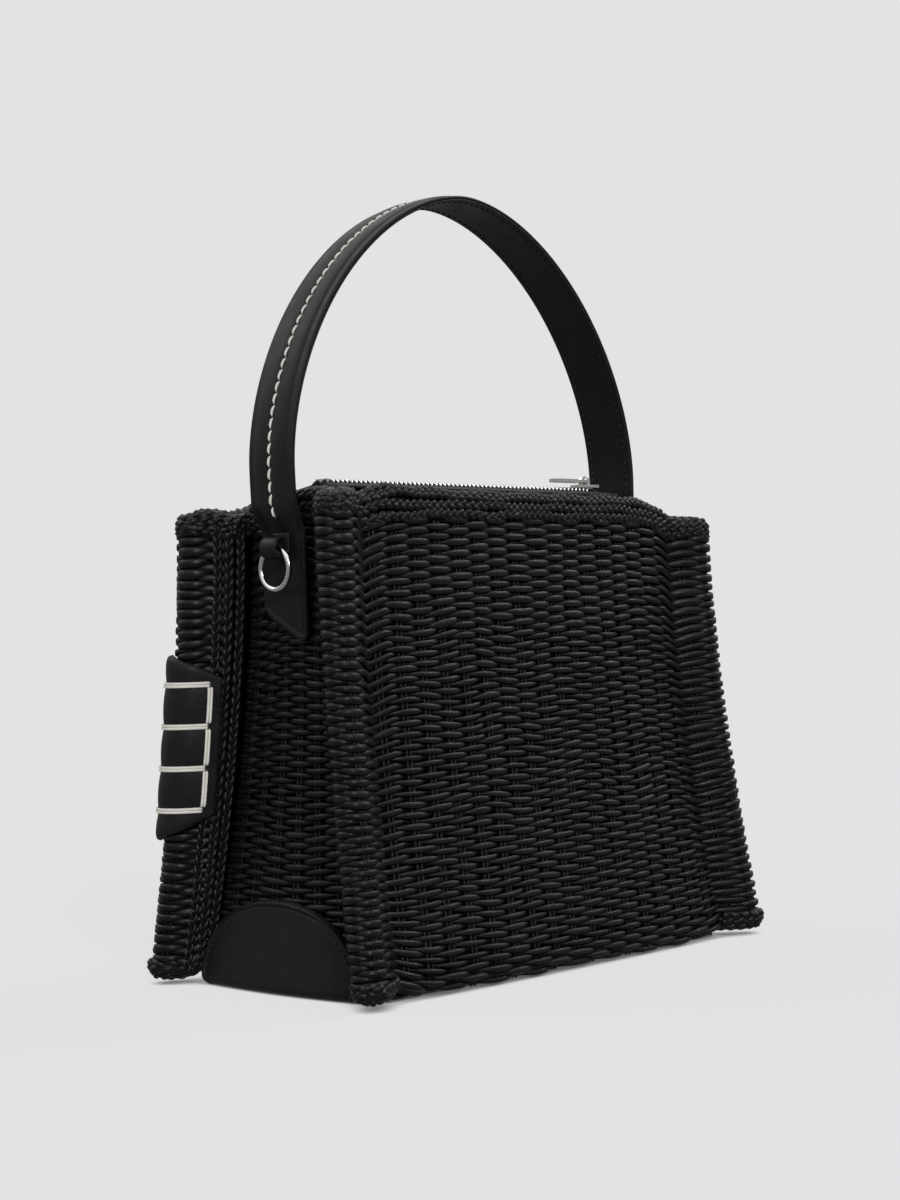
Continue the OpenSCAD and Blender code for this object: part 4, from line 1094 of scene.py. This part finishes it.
def carried(s_grid, across, height):
    """The closed strip: every profile point at its own length, with both ends filled."""
    points, _ = on_handle(s_grid, across[None], height)
    rows, columns = s_grid.shape
    faces = [grid_quads(rows, columns, False, True), np.arange(columns)[::-1][None],
             ((rows - 1) * columns + np.arange(columns))[None]]
    place = np.stack([s_grid, np.broadcast_to(across, s_grid.shape), height], -1)
    return {"points": points.reshape(-1, 3), "faces": faces, "place": place.reshape(-1, 3),
            "tint": np.full(rows * columns, MIDDLE_TINT)}


across, bar = strip_profile(FLAT_ACROSS)
print("strap profile of", len(across), "points")

# %% Strap and backing
TAB_L, TAB_FADE = 40.0, 10.0
MIDDLE_FROM = 0.003
near_tip = np.concatenate([np.arange(0, 4, 0.4), np.arange(4, 56, 1.3)]) / HANDLE_L
along_middle = np.linspace(near_tip[-1] + MIDDLE_FROM, 1 - near_tip[-1] - MIDDLE_FROM, 170)
shares = np.concatenate([near_tip, along_middle, 1 - near_tip[::-1]])
low_tip, high_tip = tip_shift(across, -1)[None], tip_shift(across, 1)[None]
s_grid = low_tip + (HANDLE_L - high_tip - low_tip) * shares[:, None]
thickness = TAB_T + (STRAP_T - TAB_T) * smooth((from_end(s_grid) - TAB_L) / TAB_FADE)
border = raised_border(s_grid, across, low_tip) + raised_border(HANDLE_L - s_grid, across, high_tip)
on_face = bar == 0.5
height = bar * thickness + np.where(on_face, pad_height(s_grid, across) + border, 0.0)
strap = piece("handle_strip", [carried(s_grid, across, height)], hide,
              stands_for=["handle_strap", "left_tab", "right_tab"])

BACKING_START = 50.0
plain_across = FLAT_ACROSS[[0, 1, len(FLAT_ACROSS) // 2, -2, -1]]
back_across, back_bar = strip_profile(plain_across)
s_back = np.linspace(BACKING_START, HANDLE_L - BACKING_START, 190)[:, None] + 0 * back_across[None]
backing_height = back_bar[None] * BACKING_T - (STRAP_T + BACKING_T) / 2 + 0 * s_back
piece("handle_backing_strip", [carried(s_back, back_across, backing_height)], hide,
      stands_for=["handle_backing"])

# %% [markdown]
# ## Stitches
# Saddle stitches are short pieces of waxed thread, each a little slanted, that dive into the leather at
# both ends. One function lays them along any line on a surface. Cream thread runs down the middle of the
# strap, and black thread, which is nearly lost on black leather, holds the backing, the tabs and the
# patches.

# %% Stitch rows
STITCH_FLAT = np.array([0.5, 0.95, 1, 0.95, 0.5])
STITCH_WIDE = np.array([0.6, 1, 1, 1, 0.6])


def stitch_row(line, out, pitch, dash, thick, slant=0.0):
    """Stitches a pitch apart along a line: each is a short strand with thin ends that sink in."""
    length = line_length(line)
    count = int((length[-1] - dash) // pitch) + 1
    start = np.arange(count) * pitch + (length[-1] - (count - 1) * pitch - dash) / 2
    t = np.linspace(0, 1, 5)
    at = start[:, None] + dash * t
    out = np.broadcast_to(out, line.shape)
    spots, normals = walked(line, length, at), unit(walked(out, length, at))
    side = unit(np.cross(spots[:, -1:] - spots[:, :1], normals))
    sunk = thick * (0.5 - 1.5 * np.abs(2 * t - 1) ** 3)
    spots = spots + (slant * (t - 0.5))[:, None] * side + sunk[:, None] * normals
    return tubes(spots, normals, thick * STITCH_FLAT, thick * STITCH_WIDE, sides=6)


def handle_row(first, last, across, height, inside=False):
    """A line of points along the handle at one place across it, with its outward or inward direction."""
    s = np.linspace(first, last, 400)
    points, outward_there = on_handle(s, across, height + 0 * s)
    return points, -outward_there if inside else outward_there


CREAM_START, CREAM_R, CREAM_OVER = 52.0, 0.56, 0.35
CREAM_PITCH, CREAM_DASH, CREAM_SLANT = 5.1, 4.5, 0.8
cream_line, cream_out = handle_row(CREAM_START, HANDLE_L - CREAM_START, 0.0, STRAP_T / 2 + CREAM_OVER)
cream = stitch_row(cream_line, cream_out, CREAM_PITCH, CREAM_DASH, CREAM_R, CREAM_SLANT)
piece("strap_cream_stitches", [cream], white_thread)

# %% Black stitches
EDGE_START, EDGE_IN = 56.0, 9.9
EDGE_PITCH, EDGE_DASH, EDGE_THREAD = 3.4, 2.5, 0.3
TAB_EDGE, TAB_END_IN = 9.6, 3.0
KEEPER_S, KEEPER_HALF = 33.0, 4.0
inner_face = -STRAP_T / 2 - BACKING_T
edge_rows = [handle_row(EDGE_START, HANDLE_L - EDGE_START, side * EDGE_IN, inner_face, True)
             for side in (-1, 1)]
tab_across = np.linspace(-TAB_EDGE, TAB_EDGE, 60)
for hand, where in ((-1, lambda s: s), (1, lambda s: HANDLE_L - s)):
    tip_s = tip_shift(tab_across, hand) + TAB_END_IN
    tab_s = np.concatenate([np.linspace(TAB_L, tip_s[0], 60), tip_s, np.linspace(tip_s[-1], TAB_L, 60)])
    tab_a = np.concatenate([np.full(60, -TAB_EDGE), tab_across, np.full(60, TAB_EDGE)])
    edge_rows.append(on_handle(where(tab_s), tab_a, np.full(180, TAB_T / 2)))
    keeper_a = np.linspace(-KEEPER_HALF, KEEPER_HALF, 20)
    edge_rows.append(on_handle(where(np.full(20, KEEPER_S)), keeper_a, np.full(20, TAB_T / 2)))
edge_stitches = [stitch_row(line, out, EDGE_PITCH, EDGE_DASH, EDGE_THREAD) for line, out in edge_rows]
piece("handle_edge_stitches", edge_stitches, black_thread)

# %% [markdown]
# ## Ring loops and rings
# A small leather keeper comes from under the padded end of the strap, folds round the wire of the ring
# and goes back up. It is a strip carried round a circle. The ring is a circle of wire that hangs in it
# and can swing.

# %% Loops and rings
RING_X, RING_Z, RING_R, WIRE_R = 105.117, 174.384, 8.2, 1.2
LOOP_R, LOOP_T, LOOP_W, LOOP_RISE = 3.716, 1.4, 9.5, 5.8
LOOP_END = 2.0

loop_turn = np.linspace(np.pi, 2 * np.pi + LOOP_END, 34)
loop_arc = np.stack([np.cos(loop_turn), np.sin(loop_turn)], -1)
loop_back = np.stack([np.full(8, -1.0), np.linspace(LOOP_RISE / LOOP_R, 0.12, 8)], -1)
loop_line = np.concatenate([loop_back, loop_arc]) * LOOP_R
loop_out = np.concatenate([np.tile([-1.0, 0.0], (8, 1)), loop_arc])
loop_y = np.linspace(-0.5, 0.5, 9) * LOOP_W
edge_thin = np.array([0.45, 0.85, 1, 1, 1, 1, 1, 0.85, 0.45])
for hand, body in ((-1.0, "left_ring"), (1.0, "right_ring")):
    faces_of_loop = []
    for side in (1, -1):
        offset = loop_line[:, None] + side * LOOP_T / 2 * edge_thin[None, :, None] * loop_out[:, None]
        loop_x, loop_z = RING_X + offset[..., 0], RING_Z + offset[..., 1]
        faces_of_loop.append(np.stack([hand * loop_x, loop_y + 0 * loop_x, loop_z], -1))
    piece(body + "_keeper", [slab(*faces_of_loop)], hide, stands_for=[body + "_loop"])
    around = np.linspace(0, 2 * np.pi, 72, endpoint=False)
    wire_y, wire_z = RING_R * np.sin(around), RING_Z - RING_R + RING_R * np.cos(around)
    wire = np.stack([np.full(72, hand * RING_X), wire_y, wire_z], -1)
    piece(body + "_wire", [tubes(wire[None], np.array([1.0, 0, 0]), WIRE_R, WIRE_R, 16, ring=True)],
          nickel, body, [body])

# %% [markdown]
# ## Foot patches
# A half-round leather patch covers the foot of each gusset and folds under the bag. A square grid is bent
# into the half disc, so that the rows follow its edge, and the height over the gusset is a function of
# the distance from that edge: a thin rounded rim, a raised piping, a stitched groove and then the smooth
# field.

# %% Patches
PATCH_HALF, PATCH_H, PATCH_GAP, PATCH_T = 46.0, 36.5, 1.9, 2.0
FOLD_R, CORNER_R, LIP = 3.0, 6.0, 4.0
THIN_RIM, THIN_ROUND = 0.35, 1.1
PIPING_H, PIPING_IN, PIPING_W = 0.75, 1.35, 0.7
GROOVE_D, STITCH_IN, GROOVE_W = 0.3, 3.1, 0.45
PATCH_FLOOR, STITCH_SUNK, FOLD_LIFT = 0.1, 0.1, 0.2
SIDE_SHARE, UNDER_RELIEF, INNER_LIFT, STITCH_SIDE = 0.8, 0.3, 0.9, 0.95
PATCH_PITCH, PATCH_DASH, PATCH_THREAD = 2.9, 2.0, 0.32

patch_u = np.sin(np.linspace(-1, 1, 91) * np.pi / 2)[None]
patch_v = np.sin(np.linspace(1, 0, 46) * np.pi / 2)[:, None]


def patch_relief(e):
    """Height of the patch's outer face at a distance e from its edge: rim, piping and stitched groove."""
    rim = THIN_RIM + (1 - THIN_RIM) * np.sqrt(1 - (1 - np.clip(e / THIN_ROUND, 0, 1)) ** 2)
    piping = PIPING_H * np.exp(-((e - PIPING_IN) / PIPING_W) ** 2)
    groove = GROOVE_D * np.exp(-((e - STITCH_IN) / GROOVE_W) ** 2)
    return PATCH_T * rim + piping - groove


def patch_grids():
    """Outer and inner grid of the right patch: the half disc, then a quarter-round fold and a lip under
    the bag."""
    fold = np.linspace(0, np.pi / 2, 8)[1:, None]
    edge = np.minimum((1 - np.abs(patch_u)) * PATCH_HALF * SIDE_SHARE, (1 - patch_v) * PATCH_H)
    turn = np.concatenate([0 * patch_v, fold, np.full((2, 1), np.pi / 2)])
    lip = FOLD_R + LIP * np.array([[0.5], [1.0]])
    under = np.concatenate([0 * patch_v, FOLD_R * (1 - np.cos(fold)), lip])
    y = PATCH_HALF * patch_u * np.sqrt(1 - patch_v ** 2 / 2)
    z = FOLD_R + (PATCH_H - FOLD_R) * patch_v * np.sqrt(1 - patch_u ** 2 / 2)
    low = FOLD_R * (1 - np.sin(turn[len(patch_v):])) + FOLD_LIFT
    y = np.concatenate([y, PATCH_HALF * patch_u + 0 * low])
    z = np.concatenate([z, low + 0 * patch_u])
    edge = np.concatenate([edge, np.broadcast_to(edge[-1:], (len(low), patch_u.size))])
    y = y * (1 - quarter_round(z, CORNER_R) / PATCH_HALF)
    high = patch_relief(edge)
    base_x = gusset_x(y, np.maximum(z, FOLD_R)) + PATCH_GAP - under
    more = high - PATCH_T
    outer_z, inner_z = z - UNDER_RELIEF * more * np.sin(turn), z + INNER_LIFT * PATCH_T * np.sin(turn)
    outer = np.stack([base_x + PATCH_T + more * np.cos(turn), y, outer_z], -1)
    inner = np.stack([base_x + PATCH_T * (1 - np.cos(turn)), y, inner_z], -1)
    return outer, inner


patch_outer, patch_inner = patch_grids()
patch_outer[..., 2] = np.maximum(patch_outer[..., 2], PATCH_FLOOR)
bow = np.linspace(0.02, np.pi - 0.02, 300)
stitch_y = (PATCH_HALF - STITCH_IN * STITCH_SIDE) * np.cos(bow)
stitch_z = FOLD_R + (PATCH_H - FOLD_R - STITCH_IN) * np.sin(bow)
stitch_x = gusset_x(stitch_y, stitch_z) + PATCH_GAP + PATCH_T - STITCH_SUNK
patch_line = np.stack([stitch_x, stitch_y, stitch_z], -1)
for node, flip in (("left_foot_patch", LEFT), ("right_foot_patch", RIGHT)):
    leather = slab(patch_outer * flip, patch_inner * flip)
    piece(node + "_leather", [leather], hide, stands_for=[node])
    facing = np.array([1.0, 0, 0]) * flip
    stitches = stitch_row(patch_line * flip, facing, PATCH_PITCH, PATCH_DASH, PATCH_THREAD)
    piece(node + "_stitches", [stitches], black_thread)

# %% [markdown]
# ## The leather sleeve and its lacing
# A leather sleeve is wrapped round the edge of the back left fin and held by thick cream lacing, which
# pulls it in at every row, so that the leather puffs up between. The sleeve is a slab over the fin's
# outline, with slanted ends, and the puffs are a sine between the rows. The lacing is laid double, as in
# the photograph.

# %% Sleeve
SLEEVE_Z, SLEEVE_HALF, SLEEVE_SLANT = 96.0, 37.5, 10.0
SLEEVE_GAP, SLEEVE_T, SLEEVE_EDGE = 1.9, 2.2, 0.4
SLEEVE_ROUND, PUFF, PUFF_ENDS, PUFF_POWER = 1.3, 0.8, 0.6, 0.7
PUFF_EASE, SIDE_EASE, EDGE_EASE = 6.0, 8.0, 3.0
SLEEVE_FROM, SLEEVE_TO = 3.9, 46.75
LACE_PITCH, LACE_IN = 16.8, 5.2
lace_z = SLEEVE_Z + LACE_PITCH * np.array([-1.5, -0.5, 0.5, 1.5])


def on_fin(d, z, off):
    """A point off the back left fin: d is the length round the fin from its inner root, and off the
    distance from it."""
    along, across, n_along, n_across = fin_outline(d / FIN_GIRTH)
    x, y = fin_place(z, along + off * n_along, across + off * n_across)
    return np.stack([-x, y, z + 0 * x], -1)


def fin_normal(d, z):
    """The outward direction off the back left fin."""
    return unit(on_fin(d, z, 1.0) - on_fin(d, z, 0.0))


def sleeve_edges(d):
    """Lower and upper edge of the sleeve: it is longest round the fin's edge and slants to both sides."""
    middle = FIN_GIRTH / 2
    half = SLEEVE_HALF - SLEEVE_SLANT * np.abs(d - middle) / (middle - SLEEVE_FROM)
    return SLEEVE_Z - half, SLEEVE_Z + half


def sleeve_top(d, z):
    """Distance of the sleeve's outer face from the fin: rounded edges, and puffs between the laces."""
    low, high = sleeve_edges(d)
    edge = np.minimum(np.minimum(d - SLEEVE_FROM, SLEEVE_TO - d), 0.9 * np.minimum(z - low, high - z))
    rounded = SLEEVE_EDGE + (1 - SLEEVE_EDGE) * np.sqrt(1 - (1 - np.clip(edge / SLEEVE_ROUND, 0, 1)) ** 2)
    between_rows = np.abs(np.sin(np.pi * (z - lace_z[0]) / LACE_PITCH)) ** PUFF_POWER
    ends = PUFF_ENDS * smooth(np.maximum(lace_z[0] - z, z - lace_z[-1]) / PUFF_EASE)
    wave = np.where((z > lace_z[0]) & (z < lace_z[-1]), between_rows, ends)
    on_sides = smooth((d - SLEEVE_FROM) / SIDE_EASE) * smooth((SLEEVE_TO - d) / SIDE_EASE)
    inside = on_sides * smooth(edge / EDGE_EASE)
    return SLEEVE_GAP + SLEEVE_T * rounded + PUFF * wave * inside


ease = np.linspace(-1, 1, 61)
sleeve_d = (SLEEVE_FROM + SLEEVE_TO) / 2 + (SLEEVE_TO - SLEEVE_FROM) / 2 * np.sin(ease * np.pi / 2)[None]
sleeve_low, sleeve_high = sleeve_edges(sleeve_d)
near_edge = np.linspace(0, 0.04, 7)
sleeve_share = np.concatenate([near_edge[:-1], np.linspace(0.04, 0.96, 75), 1 - near_edge[-2::-1]])
sleeve_z = sleeve_low + (sleeve_high - sleeve_low) * sleeve_share[:, None]
sleeve_grids = [on_fin(sleeve_d, sleeve_z, sleeve_top(sleeve_d, sleeve_z)),
                on_fin(sleeve_d, sleeve_z, np.full(sleeve_z.shape, SLEEVE_GAP))]
piece("fin_sleeve", [slab(*sleeve_grids)], hide, stands_for=["fin_wrap"])

# %% Lacing
LACE_R, LACE_FLAT, LACE_APART, LACE_CLEAR = 0.6, 0.95, 0.56, 1.2
LACE_OVER, LACE_SINK, LACE_POWER = 0.75, 2.6, 24
lace_from, lace_to = SLEEVE_FROM + LACE_IN, SLEEVE_TO - LACE_IN


def laced(d, z):
    """A pair of strands on the sleeve along a line of points, sunk into the leather at both ends."""
    t = np.linspace(-1, 1, d.shape[-1])
    off = sleeve_top(d, z) + LACE_R * (LACE_OVER - LACE_SINK * np.abs(t) ** LACE_POWER)
    return tubes(on_fin(d, z, off), fin_normal(d, z), LACE_R, LACE_R * LACE_FLAT, sides=7)


pair = np.array([-LACE_APART, LACE_APART])[:, None]
row_d = np.linspace(lace_from, lace_to, 60)[None]
lace_parts = [laced(row_d + 0 * pair, z + pair + 0 * row_d) for z in lace_z]
rise = np.linspace(LACE_CLEAR, LACE_PITCH - LACE_CLEAR, 24)[None]
lace_parts += [laced(d + pair + 0 * rise, z + rise + 0 * pair)
               for d in (lace_from, lace_to) for z in lace_z[:-1]]
piece("fin_sleeve_lacing", lace_parts, white_thread, stands_for=["fin_lacing"])

# %% [markdown]
# ## The zip
# The mouth is closed by two strips of cloth that rise from the rim to the tapes of a metal zip. The tapes
# slope away from the teeth like a roof, and each has a rolled edge that shows dark between the teeth.
# Each tooth is a short rounded bar set across the tape, and the two rows take turns. A slot stays free
# between them for the slider's post, as in the CAD model, whose slider, pull and stop keep their solids
# and get the nickel.

# %% Shapes of the cloth and the tapes
ZIP_Z, ROOM_END = 201.0, 88.81
RIM_CLOTH_Z, RIM_CLOTH_IN, CLOTH_EDGE, CLOTH_T = 188.7, 6.2, 9.25, 1.0
CLOTH_SAG, RIPPLE, RIPPLE_L = 0.5, 0.6, 7.0
TAPE_IN, TAPE_W, TAPE_T, TAPE_END = 3.5, 11.5, 0.8, 90.81
TAPE_SINK, TAPE_SLOPE = 0.8, 0.16
BEAD_Y, BEAD_WIDE, BEAD_HIGH = 2.3, 0.6, 1.25
BEND_FROM, TAPE_BEND, TAPE_DROP = 78.41, 9.0, 6.0


def end_drop(x):
    """How far the cloth and the tape bend down towards an end of the zip."""
    return TAPE_DROP * smooth((x - BEND_FROM) / TAPE_BEND)


cloth_x = np.linspace(-ROOM_END, ROOM_END, 60)[None]
cloth_share = np.linspace(0, 1, 14)[:, None]
crease_x, crease_y = fin_place(WALL_H, -FIN_LENGTH, FIN_R)
cloth_rim_y = crease_y + FACE_BULGE * (1 - (cloth_x / crease_x) ** 4) - RIM_CLOTH_IN
cloth_y = cloth_rim_y + (CLOTH_EDGE - cloth_rim_y) * cloth_share
under_tape = ZIP_Z - TAPE_SINK - TAPE_SLOPE * (CLOTH_EDGE - TAPE_IN) - TAPE_T / 2 - SEAM
crown = under_tape - end_drop(np.abs(cloth_x))
sag = CLOTH_SAG * np.sin(np.pi * cloth_share) * (1 + RIPPLE * np.sin(cloth_x / RIPPLE_L))
cloth_z = RIM_CLOTH_Z + (crown - RIM_CLOTH_Z) * cloth_share - sag
cloth_top = np.stack([cloth_x + 0 * cloth_y, cloth_y, cloth_z], -1)
bent_x = np.linspace(-BEND_FROM - TAPE_BEND, -BEND_FROM, 14)
tape_x = np.concatenate([bent_x, np.linspace(-BEND_FROM, TAPE_END, 60)[1:]])[None]
tape_y = np.concatenate([[1.5, 1.9, 2.3, 2.7, 3.1], np.linspace(TAPE_IN, TAPE_IN + TAPE_W, 7)])[:, None]
bead = BEAD_HIGH * np.exp(-((tape_y - BEAD_Y) / BEAD_WIDE) ** 2)
tape_z = ZIP_Z - TAPE_SINK - TAPE_SLOPE * (tape_y - TAPE_IN) + bead - end_drop(-tape_x)
tape_top = np.stack([tape_x + 0 * tape_y, tape_y + 0 * tape_x, tape_z + TAPE_T / 2], -1)

# %% Cloth, tapes and teeth
TEETH_FROM, TEETH_TO, TOOTH_PITCH = -76.81, 84.81, 2.6
TOOTH_IN, TOOTH_OUT, TOOTH_T, TOOTH_H = 0.7, 3.6, 1.1, 2.6
tooth_t = np.array([0.0, 0.12, 0.5, 0.88, 1.0])
tooth_y = TOOTH_IN + (TOOTH_OUT - TOOTH_IN) * tooth_t
round_end = np.array([0.7, 1.0, 1.0, 1.0, 0.7])
for side, flip, shift in (("back", BACK, 0.0), ("front", FRONT, TOOTH_PITCH / 2)):
    cloth = piece(f"top_cloth_{side}", [slab(cloth_top * flip, (cloth_top - [0, 0, CLOTH_T]) * flip)],
                  black_cloth, stands_for=[f"top_panel_{side}"])
    tape = piece(f"zip_tape_{side}_cloth", [slab(tape_top * flip, (tape_top - [0, 0, TAPE_T]) * flip)],
                 black_cloth, stands_for=[f"zip_tape_{side}"])
    tooth_x = np.arange(TEETH_FROM + shift, TEETH_TO - TOOTH_T, TOOTH_PITCH)[:, None] + TOOTH_T / 2
    teeth = np.stack([tooth_x + 0 * tooth_y, tooth_y + 0 * tooth_x, np.full((len(tooth_x), 5), ZIP_Z)], -1)
    bars = tubes(teeth * flip, UP, TOOTH_H / 2 * round_end, TOOTH_T / 2 * round_end)
    piece(f"zip_teeth_{side}_bars", [bars], nickel, stands_for=[f"zip_teeth_{side}"])

# %% Slider, pull and stop
for node in ("zip_slider", "zip_pull", "zip_stop"):
    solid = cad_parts[node]
    solid.data.materials.clear()
    solid.data.materials.append(nickel)
    print(node, "keeps its solid in nickel")
